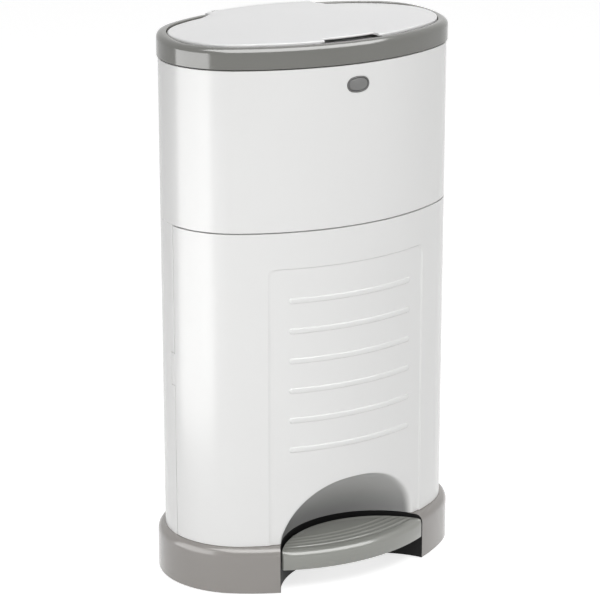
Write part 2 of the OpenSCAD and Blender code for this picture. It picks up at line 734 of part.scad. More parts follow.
// Knuckle on a web: down to the upper shell (side -1) or up to the collar (side 1)
module fold_bracket(x, side) {
    rod_x(knuckle_r, x - knuckle_l / 2, x + knuckle_l / 2, fold_y, fold_z);
    wall_y = side_y(shell, abs(x) + knuckle_l / 2) - (side > 0 ? 0.4 : 1);
    low = side > 0 ? 0.4 : -18;
    high = side > 0 ? 10 : -2.6;
    translate([x - knuckle_l / 2, 0, fold_z]) rotate([90, 0, 90]) linear_extrude(knuckle_l) polygon(
        [[wall_y, low], [fold_y - knuckle_r * 0.5, side > 0 ? low : high - 3],
            [fold_y, side > 0 ? 0.5 : -knuckle_r * 0.8], [fold_y, side > 0 ? knuckle_r * 0.8 : high],
            [wall_y, high]]);
}

tray_in = case_hole_in - 1;
module cassette_tray() color(inner_grey) difference() {
    union() {
        oval_sweep(shell) translate([-tray_in, cassette_z - tray_t]) square([tray_in - wall, tray_t]);
        oval_wall(shell, -wall, -wall - 2.4, cassette_z - tray_t - 8, cassette_z);
    }
    block([-cover_w / 2, rod_y - guide_r - play, cassette_z - 20], [cover_w / 2, far / 2, cassette_z + 5]);
}

module cassette_case() color(white) oval_sweep(shell) polygon([
    [-case_in, cassette_z], [-case_in, cassette_z + case_h], [-case_hole_in + 5, cassette_z + case_h],
    [-case_hole_in + 5, cassette_z + case_h - case_wall],
        [-case_in - case_wall, cassette_z + case_h - case_wall],
    [-case_in - case_wall, cassette_z + case_wall], [-case_hole_in + case_wall, cassette_z + case_wall],
    [-case_hole_in + case_wall, cassette_z + case_h - 5], [-case_hole_in, cassette_z + case_h - 5],
    [-case_hole_in, cassette_z]]);

module film_pack() color(film_blue) oval_sweep(shell)
    translate([-case_hole_in + case_wall + 1, cassette_z + case_wall])
    square([case_hole_in - case_in - 2 * case_wall - 3, case_h - 2 * case_wall - 4]);

module button_bezel() color(dark) difference() {
    intersection() {
        face_oval(bezel_t, -half_d + 8, 12);
        oval_plate(grow(shell, 0.6), collar_z - 60, 50);
    }
    face_oval(play, 0, half_d + 5);
}

stem_w = 8;
button_back = prong_y + button_travel + play;
stem_h = 5;
module release_button() color(collar_grey) {
    intersection() {
        face_oval(0, -button_back, 12);
        oval_plate(grow(shell, 1.2), collar_z - 60, 50);
    }
    block([-stem_w / 2, -button_back - 1, button_z - stem_h / 2],
        [stem_w / 2, -bar_y, button_z + stem_h / 2]);
}

module button_bar() color(dark)
    block([-prong_x - prong_w, -bar_y, button_z - 3], [prong_x + prong_w, -bar_y + bar_t, button_z + 3]);

module button_spring() color(steel)
    translate([0, -bar_y + bar_t + play / 2 + 0.4, button_z]) rotate([-90, 0, 0])
    coil(3, 0.4, 0, bar_y - bar_t - guide_back - play - 0.8, 3);

guide_x = prong_x + prong_w + 2;
module button_guide() color(inner_grey) intersection() {
    difference() {
        block([-guide_x - 2, -half_d, button_z - 8], [guide_x + 2, -guide_back + 2, button_z + 8]);
        block([-guide_x, -half_d - 1, button_z - 9], [guide_x, -guide_back, button_z + 9]);
    }
    oval_plate(grow(shell, -wall), button_z - 9, 18);
}

slot_half = head_w / 2 + 7;
slot_front = lid_y - crank_r - crank_pin_r - 2.5;
slot_back = half_d + collar_over - collar_wall - 1.6;
lid_knuckle_x = 16;
lid_knuckle_l = 9;
hopper_screw_in = mouth_in - 6;
hopper_screw_spots = [for (s = [-1, 1], a = [-40, 40])
    [s * (shell[0] + (end_r - hopper_screw_in) * cos(a)), (end_r - hopper_screw_in) * sin(a)]];
module top_collar() color(collar_grey) difference() {
    union() {
        difference() {
            oval_sweep(shell) polygon(concat(
                [[collar_over - collar_wall, collar_z + play], [collar_over, collar_z + play]],
                corner(collar_over, rim_z - collar_round, collar_over + 5, collar_round),
                [[-rim_w, rim_z], [-rim_w, seat_z], [-mouth_in + 0.5, seat_z], [-mouth_in + 0.5, mouth_z],
                    [-wall - 3.2, mouth_z], [-wall - 3.2, collar_z - 6], [-wall - 0.7, collar_z - 6],
                    [-wall - 0.7, mouth_z], [collar_over - collar_wall, mouth_z]]));
            block([-slot_half, slot_front, collar_z - 7], [slot_half, slot_back, far]);
            for (s = [-1, 1]) rod_x(knuckle_r + 1.1, s * (knuckle_x + knuckle_l / 2) - knuckle_l / 2 - play,
                s * (knuckle_x + knuckle_l / 2) + knuckle_l / 2 + play, fold_y, fold_z);
            slot_cut();
        }
        for (s = [-1, 1]) {
            fold_bracket(s * (knuckle_x + knuckle_l * 1.5 + play), 1);
            for (k = [0, 2]) lid_lug(s * (lid_knuckle_x + (lid_knuckle_l + play) * k), s * lid_knuckle_l, [
                [side_y(shell, lid_knuckle_x + lid_knuckle_l * (k + 1)) + 0.4, rim_z - 15],
                [lid_y, lid_z - lid_knuckle_r], [lid_y - lid_knuckle_r * 0.7, lid_z],
                [side_y(shell, lid_knuckle_x + lid_knuckle_l * (k + 1)) + 0.4, rim_z - 8]]);
            block([s * (prong_x + prong_w / 2) - prong_w / 2, -prong_y, button_z - 6],
                [s * (prong_x + prong_w / 2) + prong_w / 2, -prong_y + prong_t, mouth_z + 1]);
            block([s * (prong_x + prong_w / 2) - prong_w / 2, -prong_y, button_z - 6],
                [s * (prong_x + prong_w / 2) + prong_w / 2, -prong_y + prong_t + hook_d, button_z - 2.5]);
        }
    }
    rod_x(lid_pin_r + run_fit, -half_w, half_w, lid_y, lid_z);
    for (s = [-1, 1]) rod_x(knuckle_pin_r + run_fit, s > 0 ? knuckle_x : -knuckle_x - 2 * knuckle_l - 1,
        s > 0 ? knuckle_x + 2 * knuckle_l + 1 : -knuckle_x, fold_y, fold_z);
    for (p = hopper_screw_spots) translate([p[0], p[1], mouth_z - 1]) cylinder(r = 1.6, h = 2.6, $fn = 32);
}

// Knuckle of the lid's hinge from x0, len long, on a lug of the given Y-Z outline
module lid_lug(x0, len, outline) {
    low = min(x0, x0 + len);
    rod_x(lid_knuckle_r, low, low + abs(len), lid_y, lid_z);
    translate([low, 0, 0]) rotate([90, 0, 90]) linear_extrude(abs(len)) polygon(outline);
}

// Finger slot at the lid's front edge
module slot_cut() {
    front_sweep(shell, slot_w) translate([-rim_w - slot_d, seat_z + 0.6]) square([slot_d + 0.2, 20]);
}

flange_in = mouth_in - 9.5;
module hopper() color(inner_grey) difference() {
    oval_sweep(shell) polygon([
        [-flange_in, mouth_z], [-mouth_in, mouth_z], [-mouth_in, mouth_z - 3],
        [-throat_in, mouth_z - 3 - funnel_h], [-throat_in, spout_z], [-throat_in + funnel_wall, spout_z],
        [-throat_in + funnel_wall, mouth_z - 3 - funnel_h + 0.6], [-mouth_in + funnel_wall, mouth_z - 3],
        [-mouth_in + funnel_wall, mouth_z - funnel_wall], [-flange_in, mouth_z - funnel_wall]]);
    block([-slot_half, slot_front, mouth_z - 5], [slot_half, far / 2, far]);
    for (p = hopper_screw_spots) translate([p[0], p[1], mouth_z - 5]) cylinder(r = 1.7, h = 6, $fn = 32);
}

module hopper_screws() color(steel) for (p = hopper_screw_spots)
    translate([p[0], p[1], mouth_z - funnel_wall - 2]) {
    cylinder(r = 3, h = 2, $fn = 32);
    cylinder(r = 1.5, h = 2 + funnel_wall + 1.5, $fn = 32);
}

frame_in = throat_in - funnel_wall - 2;
module trap_frame() color(inner_grey) difference() {
    union() {
        oval_plate(grow(shell, -frame_in), spout_z - frame_t, frame_t);
        for (s = [-1, 1], t = [-1, 1])
            block([s * (trap_w / 2 + trap_lug / 2) - trap_lug / 2, t * flap_y - 2.6, flap_z - flap_knuckle_r],
                [s * (trap_w / 2 + trap_lug / 2) + trap_lug / 2, t * flap_y + 2.6, spout_z - 1]);
    }
    block([-trap_w / 2, -trap_d / 2, spout_z - 10], [trap_w / 2, trap_d / 2, spout_z + 1]);
    for (t = [-1, 1]) rod_x(flap_pin_r + run_fit, -trap_w, trap_w, t * flap_y, flap_z);
}

module flap(t) difference() {
    union() {
        rod_x(flap_knuckle_r, -flap_w / 2, flap_w / 2, t * flap_y, flap_z);
        block([-flap_w / 2, min(t * flap_y, t * play), flap_z + flap_knuckle_r - flap_t],
            [flap_w / 2, max(t * flap_y, t * play), flap_z + flap_knuckle_r]);
        for (x = [-flap_w / 4, flap_w / 4]) block([x - 1, min(t * flap_y, t * 6), flap_z - 1.4],
            [x + 1, max(t * flap_y, t * 6), flap_z + 1]);
    }
    rod_x(flap_pin_r + run_fit, -trap_w, trap_w, t * flap_y, flap_z);
    for (s = [-1, 1]) rod_x(flap_knuckle_r + 1, s > 0 ? flap_w / 2 - 9 : -flap_w / 2 - 1,
        s > 0 ? flap_w / 2 + 1 : -flap_w / 2 + 9, t * flap_y, flap_z);
}

module trap_flap_front() color(inner_grey) flap(-1);

module trap_flap_rear() color(inner_grey) flap(1);

module trap_pins() color(steel) for (t = [-1, 1])
    rod_x(flap_pin_r, -trap_w / 2 - trap_lug, trap_w / 2 + trap_lug, t * flap_y, flap_z);

// One torsion spring at each end of both flaps, coiled round the pins
module trap_springs() color(steel) for (s = [-1, 1], t = [-1, 1])
    translate([s > 0 ? flap_w / 2 - 8 : -flap_w / 2 + 1.5, t * flap_y, flap_z])
        rotate([0, 90, 0]) coil(flap_pin_r + 0.6, 0.3, 0, 6.5, 5);

module collar_hinge_pins() color(steel) for (s = [-1, 1])
    rod_x(knuckle_pin_r, s > 0 ? knuckle_x : -knuckle_x - 2 * knuckle_l - play,
        s > 0 ? knuckle_x + 2 * knuckle_l + play : -knuckle_x, fold_y, fold_z);

lid_in = rim_w + lid_gap;
lid_edge_z = rim_z + lid_edge;
dome_h = top_z - lid_edge_z;
dome_ry = (pow(half_d - lid_in, 2) + dome_h * dome_h) / (2 * dome_h);
dome_rx = (pow(half_w - lid_in, 2) + dome_h * dome_h) / (2 * dome_h);
dome_nx = 21;
dome_ny = 13;
function dome_z(x, y) = top_z - x * x / (2 * dome_rx) - y * y / (2 * dome_ry);

// Block under a dome that falls away as the square of the distance along X and along Y
module dome_block(d) {
    w = dome_nx + 1;
    count = w * (dome_ny + 1);
    grid = [for (j = [0:dome_ny], i = [0:dome_nx])
        [(half_w + 5) * (2 * i / dome_nx - 1), (half_d + 5) * (2 * j / dome_ny - 1)]];
    cells = [for (j = [0:dome_ny - 1], i = [0:dome_nx - 1]) j * w + i];
    rim = concat([for (i = [0:dome_nx - 1]) i], [for (j = [0:dome_ny - 1]) j * w + dome_nx],
        [for (i = [dome_nx:-1:1]) dome_ny * w + i], [for (j = [dome_ny:-1:1]) j * w]);
    polyhedron(points = concat([for (g = grid) [g[0], g[1], dome_z(g[0], g[1]) - d]],
            [for (g = grid) [g[0], g[1], lid_z - 20]]),
        faces = concat(
            [for (k = cells) each [[k, k + w, k + w + 1], [k, k + w + 1, k + 1]]],
            [for (k = cells) each [[count + k, count + k + w + 1, count + k + w],
                [count + k, count + k + 1, count + k + w + 1]]],
            [for (n = [0:len(rim) - 1]) let (a = rim[n], b = rim[(n + 1) % len(rim)])
                each [[a, b, count + b], [a, count + b, count + a]]]));
}

cap_start = 56;
cap_sink = 1;
cap_in = 1.8;
arm_t2 = 3;
module lid_arm(x0) {
    translate([x0, 0, 0]) rotate([90, 0, 90]) linear_extrude(arm_t2) polygon([
        [crank_y - 4, rim_z + 1.5], [crank_y - crank_pin_r - 1.5, crank_z], [crank_y, crank_z - 2],
        [crank_y + crank_pin_r + 1, crank_z], [slot_back - 1, rim_z - 2], [slot_back - 1, rim_z + 1.5]]);
    rod_x(crank_pin_r + 1.5, x0, x0 + arm_t2, crank_y, crank_z);
}

module lid_shell() color(lid_white) difference() {
    union() {
        difference() {
            intersection() {
                oval_plate(grow(shell, -lid_in), rim_z - 4.1, 20);
                dome_block(0);
            }
            intersection() {
                oval_plate(grow(shell, -lid_in - lid_wall), rim_z - 6, 20);
                dome_block(lid_wall);
            }
            slot_cut();
        }
        intersection() {
            translate([-cap_w / 2, 0, 0]) rotate([90, 0, 90]) linear_extrude(cap_w) polygon([
                [cap_start, dome_z(cap_w / 2, cap_start) - lid_wall + 0.3],
                [cap_start, dome_z(cap_w / 2, cap_start) - cap_sink],
                [half_d - cap_in - 3, rim_z + cap_rise], [half_d - cap_in - 1, rim_z + cap_rise - 0.6],
                [half_d - cap_in, rim_z + cap_rise - 2], [half_d, rim_z + 0.5],
                [half_d - lid_in - lid_wall / 2, rim_z + 0.5]]);
            oval_plate(grow(shell, -cap_in), rim_z - 1, 20);
        }
        for (s = [-1, 1]) lid_lug(s * (lid_knuckle_x + lid_knuckle_l + play), s * lid_knuckle_l, [
            [half_d - 10, rim_z + 0.6], [lid_y - lid_knuckle_r * 0.9, lid_z + 1], [lid_y, lid_z],
            [lid_y + 1, lid_z + lid_knuckle_r * 0.9], [half_d - 8, rim_z + cap_rise - 1]]);
        lid_arm(head_w / 2 + 2);
        lid_arm(-head_w / 2 - 2 - arm_t2);
    }
    rod_x(lid_pin_r + run_fit, -half_w, half_w, lid_y, lid_z);
    rod_x(crank_pin_r, -head_w, head_w, crank_y, crank_z);
}

inner_in = lid_in + slot_d + 0.6;
inner_z = rim_z - 4.6;
inner_t = 1.6;
post_x = 60;
post_y = 10;
post_r = 4;
module lid_inner() color(lid_white) difference() {
    union() {
        oval_plate(grow(shell, -inner_in), inner_z, inner_t);
        for (x = [-post_x, post_x], y = [-post_y, post_y]) translate([x, y, inner_z])
            cylinder(r = post_r, h = dome_z(post_x + post_r, post_y + post_r) - lid_wall - inner_z - 0.05);
    }
    block([-slot_half, slot_front - 1, 0], [slot_half, far, far]);
}

module lid_seal() color(dark) difference() {
    oval_wall(shell, -inner_in - 2, -inner_in - 6, seat_z + play / 2, inner_z);
    block([-slot_half, slot_front - 1, 0], [slot_half, far, far]);
}

module lid_hinge_pins() color(steel) for (s = [-1, 1]) {
    x0 = s > 0 ? lid_knuckle_x : -lid_knuckle_x - 3 * lid_knuckle_l - 2 * play;
    rod_x(lid_pin_r, x0, x0 + 3 * lid_knuckle_l + 2 * play, lid_y, lid_z);
}

module crank_pin() color(steel) rod_x(crank_pin_r, -head_w / 2 - 5, head_w / 2 + 5, crank_y, crank_z);

base_plinth();
rubber_feet();
base_screws();
pedal_tread();
pedal_lever();
pedal_pivot_pin();
push_rod();
rod_head();
rod_foot();
rod_clip();
return_spring();
rod_guides();
rod_cover();
rear_shell();
mid_frame();
front_door();
door_hinge_pins();
cutter_housing();
cutter_blade();
door_latch();
latch_guide();
latch_spring();
upper_shell();
cassette_tray();
cassette_case();
film_pack();
button_bezel();
release_button();
button_bar();
button_spring();
button_guide();
top_collar();
hopper();
hopper_screws();
trap_frame();
trap_flap_front();
trap_flap_rear();
trap_pins();
trap_springs();
collar_hinge_pins();
lid_shell();
lid_inner();
lid_seal();
lid_hinge_pins();
crank_pin();
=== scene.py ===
import json
import math
import bpy
import numpy as np
from mathutils import Matrix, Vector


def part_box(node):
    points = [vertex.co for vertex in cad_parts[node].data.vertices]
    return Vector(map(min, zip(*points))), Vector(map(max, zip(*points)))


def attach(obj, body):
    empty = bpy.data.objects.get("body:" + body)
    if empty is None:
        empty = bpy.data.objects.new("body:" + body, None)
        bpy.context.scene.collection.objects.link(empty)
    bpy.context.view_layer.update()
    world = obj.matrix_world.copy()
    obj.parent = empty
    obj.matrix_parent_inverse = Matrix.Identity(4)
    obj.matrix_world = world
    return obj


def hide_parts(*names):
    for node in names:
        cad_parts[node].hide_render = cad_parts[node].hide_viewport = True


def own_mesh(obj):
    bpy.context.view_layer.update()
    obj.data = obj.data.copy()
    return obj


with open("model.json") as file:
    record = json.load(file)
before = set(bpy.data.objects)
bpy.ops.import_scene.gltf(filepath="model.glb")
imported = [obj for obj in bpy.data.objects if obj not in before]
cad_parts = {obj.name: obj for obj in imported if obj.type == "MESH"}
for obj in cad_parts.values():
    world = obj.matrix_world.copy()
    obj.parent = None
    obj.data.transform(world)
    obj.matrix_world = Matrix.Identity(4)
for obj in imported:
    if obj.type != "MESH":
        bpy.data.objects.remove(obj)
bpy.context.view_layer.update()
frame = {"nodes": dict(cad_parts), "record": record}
print("stage: frame loaded,", len(frame["nodes"]), "parts")

# All sizes below are in millimetres and turn into metres when a mesh is made.

# camera, floor and light
photoCamera = {
    "azimuth": -32.0, "elevation": 17.22, "distance": 2523.7, "targetHeight": 263.0,
    "lens": 150.44, "shiftX": -0.0071, "shiftY": 0.0062,
}


def makeCamera(v):
    # Looks at a point on the bin's axis; right, up and back are the columns of its turn
    az, el = math.radians(v["azimuth"]), math.radians(v["elevation"])
    back = np.array([math.sin(az) * math.cos(el), -math.cos(az) * math.cos(el), math.sin(el)])
    right = np.array([math.cos(az), math.sin(az), 0.0])
    up = np.cross(back, right)
    place = (np.array([0, 0, v["targetHeight"]]) + back * v["distance"]) / 1000
    cam = bpy.data.objects.new("photoCamera", bpy.data.cameras.new("photoCamera"))
    cam.data.lens = v["lens"]
    cam.data.sensor_width = 36
    cam.data.shift_x = v["shiftX"]
    cam.data.shift_y = v["shiftY"]
    cam.data.clip_end = 50
    turn = np.eye(4)
    turn[:3, 0], turn[:3, 1], turn[:3, 2], turn[:3, 3] = right, up, back, place
    cam.matrix_world = Matrix(turn.tolist())
    bpy.context.scene.collection.objects.link(cam)
    bpy.context.scene.camera = cam


makeCamera(photoCamera)
bpy.context.scene.view_settings.view_transform = "Standard"


studio = {
    "sky": 0.24, "floorColour": (0.66, 0.66, 0.66), "floorLift": 0.74, "aimHeight": 0.30,
    # name: degrees round from the right side, degrees up, distance, width, height, brightness, and what it lights
    "lamps": {
        "topBox": (-112, 47, 2.5, 1.25, 1.0, 6.9, "matt"),
        "lidBox": (50, 72, 1.9, 1.0, 1.0, 2.1, "matt"),
        "rightBox": (-46, 4, 2.0, 1.3, 0.8, 2.2, "matt"),
        "leftBox": (200, -6, 1.0, 0.6, 0.4, 3.0, "matt"),
        "leftCard": (175, -8, 0.60, 0.56, 0.62, 3.7, "gloss"),
        "topCard": (-90, 70, 1.6, 2.6, 1.7, 5.5, "gloss"),
    },
}


def addLamp(name, aimHeight, around, rise, away, width, height, glow, lights):
    # Area lamp facing the bin, its power from its brightness: watts = pi * width * height * brightness
    lamp = bpy.data.lights.new(name, "AREA")
    lamp.shape = "RECTANGLE"
    lamp.size, lamp.size_y, lamp.energy = width, height, math.pi * width * height * glow
    obj = bpy.data.objects.new(name, lamp)
    a, e = math.radians(around), math.radians(rise)
    back = np.array([math.cos(a) * math.cos(e), math.sin(a) * math.cos(e), math.sin(e)])
    right = np.cross([0, 0, 1], back)
    right = right / np.linalg.norm(right)
    turn = np.eye(4)
    turn[:3, 0], turn[:3, 1], turn[:3, 2], turn[:3, 3] = right, np.cross(back, right), back, back * away + [0, 0, aimHeight]
    obj.matrix_world = Matrix(turn.tolist())
    obj.visible_diffuse = lights != "gloss"
    obj.visible_glossy = lights != "matt"
    bpy.context.scene.collection.objects.link(obj)


def whiteRays(nodes, links):
    # 1 for the rays that see the white backdrop: straight from the camera, mirrored or through clear things
    path = nodes.new("ShaderNodeLightPath")
    total = path.outputs["Is Camera Ray"]
    for ray in ("Is Glossy Ray", "Is Transmission Ray"):
        more = nodes.new("ShaderNodeMath")
        more.operation = "MAXIMUM"
        links.new(total, more.inputs[0])
        links.new(path.outputs[ray], more.inputs[1])
        total = more.outputs[0]
    return total


def makeStudio(v):
    # The sky shows white to the camera and through clear things, and lights the bin more dimly
    world = bpy.data.worlds.new("studioSky")
    bpy.context.scene.world = world
    world.use_nodes = True
    nodes, links = world.node_tree.nodes, world.node_tree.links
    nodes.clear()
    seen = whiteRays(nodes, links)
    dim = nodes.new("ShaderNodeBackground")
    dim.inputs["Color"].default_value = (1, 1, 1, 1)
    dim.inputs["Strength"].default_value = v["sky"]
    white = nodes.new("ShaderNodeBackground")
    white.inputs["Color"].default_value = (1, 1, 1, 1)
    white.inputs["Strength"].default_value = 1.0
    mix = nodes.new("ShaderNodeMixShader")
    out = nodes.new("ShaderNodeOutputWorld")
    links.new(seen, mix.inputs[0])
    links.new(dim.outputs[0], mix.inputs[1])
    links.new(white.outputs[0], mix.inputs[2])
    links.new(mix.outputs[0], out.inputs["Surface"])
    for name, values in v["lamps"].items():
        addLamp(name, v["aimHeight"], *values)
    # Floor: a pale plane, lifted for the camera so that only shadow shows on it
    mesh = bpy.data.meshes.new("floor")
    half = 8.0
    mesh.from_pydata([(-half, -half, 0), (half, -half, 0), (half, half, 0), (-half, half, 0)], [], [(0, 1, 2, 3)])
    floor = bpy.data.objects.new("floor", mesh)
    bpy.context.scene.collection.objects.link(floor)
    mat = bpy.data.materials.new("floorWhite")
    mat.use_nodes = True
    nodes, links = mat.node_tree.nodes, mat.node_tree.links
    shader = nodes["Principled BSDF"]
    shader.inputs["Base Color"].default_value = (*v["floorColour"], 1)
    shader.inputs["Roughness"].default_value = 0.8
    lift = nodes.new("ShaderNodeMath")
    lift.operation = "MULTIPLY"
    lift.inputs[1].default_value = v["floorLift"]
    links.new(whiteRays(nodes, links), lift.inputs[0])
    links.new(lift.outputs[0], shader.inputs["Emission Strength"])
    shader.inputs["Emission Color"].default_value = (1, 1, 1, 1)
    mesh.materials.append(mat)


makeStudio(studio)
print("stage: camera and studio set")


# shared effects and materials
def groupSockets(tree, ins, outs):
    for name, kind, value in ins:
        socket = tree.interface.new_socket(name=name, in_out="INPUT", socket_type=kind)
        socket.default_value = value
    for name, kind in outs:
        tree.interface.new_socket(name=name, in_out="OUTPUT", socket_type=kind)


def objectNoise(tree, source, scale, detail, rough=0.5):
    noise = tree.nodes.new("ShaderNodeTexNoise")
    noise.inputs["Detail"].default_value = detail
    noise.inputs["Roughness"].default_value = rough
    if isinstance(scale, (int, float)):
        noise.inputs["Scale"].default_value = scale
    else:
        tree.links.new(scale, noise.inputs["Scale"])
    tree.links.new(source, noise.inputs["Vector"])
    return noise


def mathNode(tree, operation, a, b):
    node = tree.nodes.new("ShaderNodeMath")
    node.operation = operation
    for socket, value in zip(node.inputs, (a, b)):
        if isinstance(value, (int, float)):
            socket.default_value = value
        else:
            tree.links.new(value, socket)
    return node.outputs[0]


def makeMouldTone():
    # Colour and gloss of moulded plastic: broad cloudy tone, faint flow streaks along Z and a few dull rubbed spots
    tree = bpy.data.node_groups.new("mouldTone", "ShaderNodeTree")
    groupSockets(tree, [("Colour", "NodeSocketColor", (0.8, 0.8, 0.8, 1)), ("Cloud", "NodeSocketFloat", 0.03),
                        ("Gloss", "NodeSocketFloat", 0.3), ("Rub", "NodeSocketFloat", 0.1)],
                 [("Colour", "NodeSocketColor"), ("Roughness", "NodeSocketFloat")])
    gin = tree.nodes.new("NodeGroupInput")
    gout = tree.nodes.new("NodeGroupOutput")
    place = tree.nodes.new("ShaderNodeTexCoord").outputs["Object"]
    cloud = objectNoise(tree, place, 9.0, 3.0)
    stretch = tree.nodes.new("ShaderNodeMapping")
    stretch.inputs["Scale"].default_value = (60, 60, 3)
    tree.links.new(place, stretch.inputs["Vector"])
    streak = objectNoise(tree, stretch.outputs[0], 1.0, 2.0)
    both = mathNode(tree, "ADD", mathNode(tree, "SUBTRACT", cloud.outputs["Fac"], 0.5),
                    mathNode(tree, "MULTIPLY", mathNode(tree, "SUBTRACT", streak.outputs["Fac"], 0.5), 0.35))
    shade = mathNode(tree, "ADD", mathNode(tree, "MULTIPLY", both, gin.outputs["Cloud"]), 1.0)
    tint = tree.nodes.new("ShaderNodeVectorMath")
    tint.operation = "SCALE"
    tree.links.new(gin.outputs["Colour"], tint.inputs[0])
    tree.links.new(shade, tint.inputs["Scale"])
    tree.links.new(tint.outputs["Vector"], gout.inputs["Colour"])
    rub = objectNoise(tree, place, 38.0, 5.0, 0.65)
    ramp = tree.nodes.new("ShaderNodeMapRange")
    ramp.inputs["From Min"].default_value = 0.52
    ramp.inputs["From Max"].default_value = 0.72
    tree.links.new(rub.outputs["Fac"], ramp.inputs["Value"])
    rough = mathNode(tree, "ADD", gin.outputs["Gloss"], mathNode(tree, "MULTIPLY", ramp.outputs["Result"], gin.outputs["Rub"]))
    tree.links.new(rough, gout.inputs["Roughness"])
    return tree


def makeFineGrain():
    # Height of a spark-eroded mould surface: fine noise at the given scale over a softer, broader ripple
    tree = bpy.data.node_groups.new("fineGrain", "ShaderNodeTree")
    groupSockets(tree, [("Scale", "NodeSocketFloat", 1500.0), ("Ripple", "NodeSocketFloat", 0.3)],
                 [("Height", "NodeSocketFloat")])
    gin = tree.nodes.new("NodeGroupInput")
    gout = tree.nodes.new("NodeGroupOutput")
    place = tree.nodes.new("ShaderNodeTexCoord").outputs["Object"]
    fine = objectNoise(tree, place, gin.outputs["Scale"], 2.0)
    broad = objectNoise(tree, place, 14.0, 2.0)
    height = mathNode(tree, "ADD", fine.outputs["Fac"], mathNode(tree, "MULTIPLY", broad.outputs["Fac"], gin.outputs["Ripple"]))
    tree.links.new(height, gout.inputs["Height"])
    return tree


mouldTone = makeMouldTone()
fineGrain = makeFineGrain()


def makePlastic(name, colour, gloss, cloud=0.03, rub=0.08, grain=1500.0, bump=0.02, ripple=0.3, specular=0.5,
                metallic=0.0, coat=0.0, shadeColour=None):
    mat = bpy.data.materials.new(name)
    mat.use_nodes = True
    nodes, links = mat.node_tree.nodes, mat.node_tree.links
    shader = nodes["Principled BSDF"]
    shader.inputs["Metallic"].default_value = metallic
    shader.inputs["Specular IOR Level"].default_value = specular
    shader.inputs["Coat Weight"].default_value = coat
    shader.inputs["Coat Roughness"].default_value = 0.08
    tone = nodes.new("ShaderNodeGroup")
    tone.node_tree = mouldTone
    tone.inputs["Colour"].default_value = (*colour, 1)
    tone.inputs["Cloud"].default_value = cloud
    tone.inputs["Gloss"].default_value = gloss
    tone.inputs["Rub"].default_value = rub
    if shadeColour:     # painted shade: the colour darkens towards the given shade colour where the mesh's attribute rises towards 1
        shadeMask = nodes.new("ShaderNodeAttribute")
        shadeMask.attribute_name = "paintedArchShade"
        blend = nodes.new("ShaderNodeMix")
        blend.data_type = "RGBA"
        links.new(shadeMask.outputs["Fac"], blend.inputs["Factor"])
        links.new(tone.outputs["Colour"], blend.inputs["A"])
        blend.inputs["B"].default_value = (*shadeColour, 1)
        links.new(blend.outputs["Result"], shader.inputs["Base Color"])
    else:
        links.new(tone.outputs["Colour"], shader.inputs["Base Color"])
    links.new(tone.outputs["Roughness"], shader.inputs["Roughness"])
    grainNode = nodes.new("ShaderNodeGroup")
    grainNode.node_tree = fineGrain
    grainNode.inputs["Scale"].default_value = grain
    grainNode.inputs["Ripple"].default_value = ripple
    bumpNode = nodes.new("ShaderNodeBump")
    bumpNode.inputs["Strength"].default_value = 1.0
    bumpNode.inputs["Distance"].default_value = bump / 1000
    links.new(grainNode.outputs["Height"], bumpNode.inputs["Height"])
    links.new(bumpNode.outputs["Normal"], shader.inputs["Normal"])
    return mat


def srgb(r, g, b):
    # Linear value of an 8-bit screen colour: ((c + 0.055) / 1.055) ^ 2.4
    return tuple(((c / 255 + 0.055) / 1.055) ** 2.4 for c in (r, g, b))


finishes = {
    "body_white": makePlastic("bodyWhite", srgb(238, 238, 237), 0.24, 0.012, 0.0, 900.0, 0.010),
    # The door's toe arch gets painted shade, a darker grey towards its foot
    "door_white": makePlastic("doorWhite", srgb(238, 238, 237), 0.24, 0.012, 0.0, 900.0, 0.010, shadeColour=srgb(150, 150, 150)),
    "lid_white": makePlastic("lidWhite", srgb(238, 238, 238), 0.30, 0.012, 0.0, 1100.0, 0.012),
    "case_white": makePlastic("caseWhite", srgb(228, 229, 227), 0.42, 0.02, 0.06, 1400.0, 0.02),
    "plinth_grey": makePlastic("plinthGrey", srgb(147, 143, 139), 0.20, 0.035, 0.0, 1600.0, 0.012, coat=0.25),
    "collar_grey": makePlastic("collarGrey", srgb(111, 111, 106), 0.13, 0.03, 0.0, 1600.0, 0.006, specular=0.85),
    "pedal_grey": makePlastic("pedalGrey", srgb(146, 147, 141), 0.20, 0.03, 0.0, 1500.0, 0.010, coat=0.5),
    "button_grey": makePlastic("buttonGrey", srgb(122, 122, 121), 0.42, 0.10, 0.0, 1000.0, 0.30),
    "inner_grey": makePlastic("innerGrey", srgb(196, 198, 198), 0.42, 0.02, 0.06, 1400.0, 0.02),
    "dark_plastic": makePlastic("darkPlastic", srgb(52, 52, 52), 0.40, 0.08, 0.08, 1500.0, 0.03),
    # Near-black finish as painted shade for the plinth's recess wall and the cut ends beside the pedal, which are
    # plinth grey
    "shadow_plastic": makePlastic("paintedShadeBlack", srgb(20, 20, 20), 0.55, 0.08, 0.0, 1500.0, 0.03, specular=0.2),
    "ring_grey": makePlastic("ringGrey", srgb(106, 106, 105), 0.36, 0.05, 0.0, 1500.0, 0.02),
    # Painted shade: dark grey for the pedal lever, steel by its slot, where it lies in the plinth's shade
    "dark_steel": makePlastic("shadeDarkSteel", srgb(46, 46, 46), 0.50, 0.08, 0.0, 1500.0, 0.03, specular=0.2),
    "film": makePlastic("filmSleeve", srgb(196, 212, 222), 0.22, 0.05, 0.10, 260.0, 0.30, 0.6),
    "rubber": makePlastic("softRubber", srgb(42, 42, 42), 0.72, 0.10, 0.08, 900.0, 0.05),
    "steel": makePlastic("zincSteel", srgb(200, 201, 203), 0.28, 0.05, 0.12, 1800.0, 0.02, metallic=1.0),
}
print("stage: materials made")


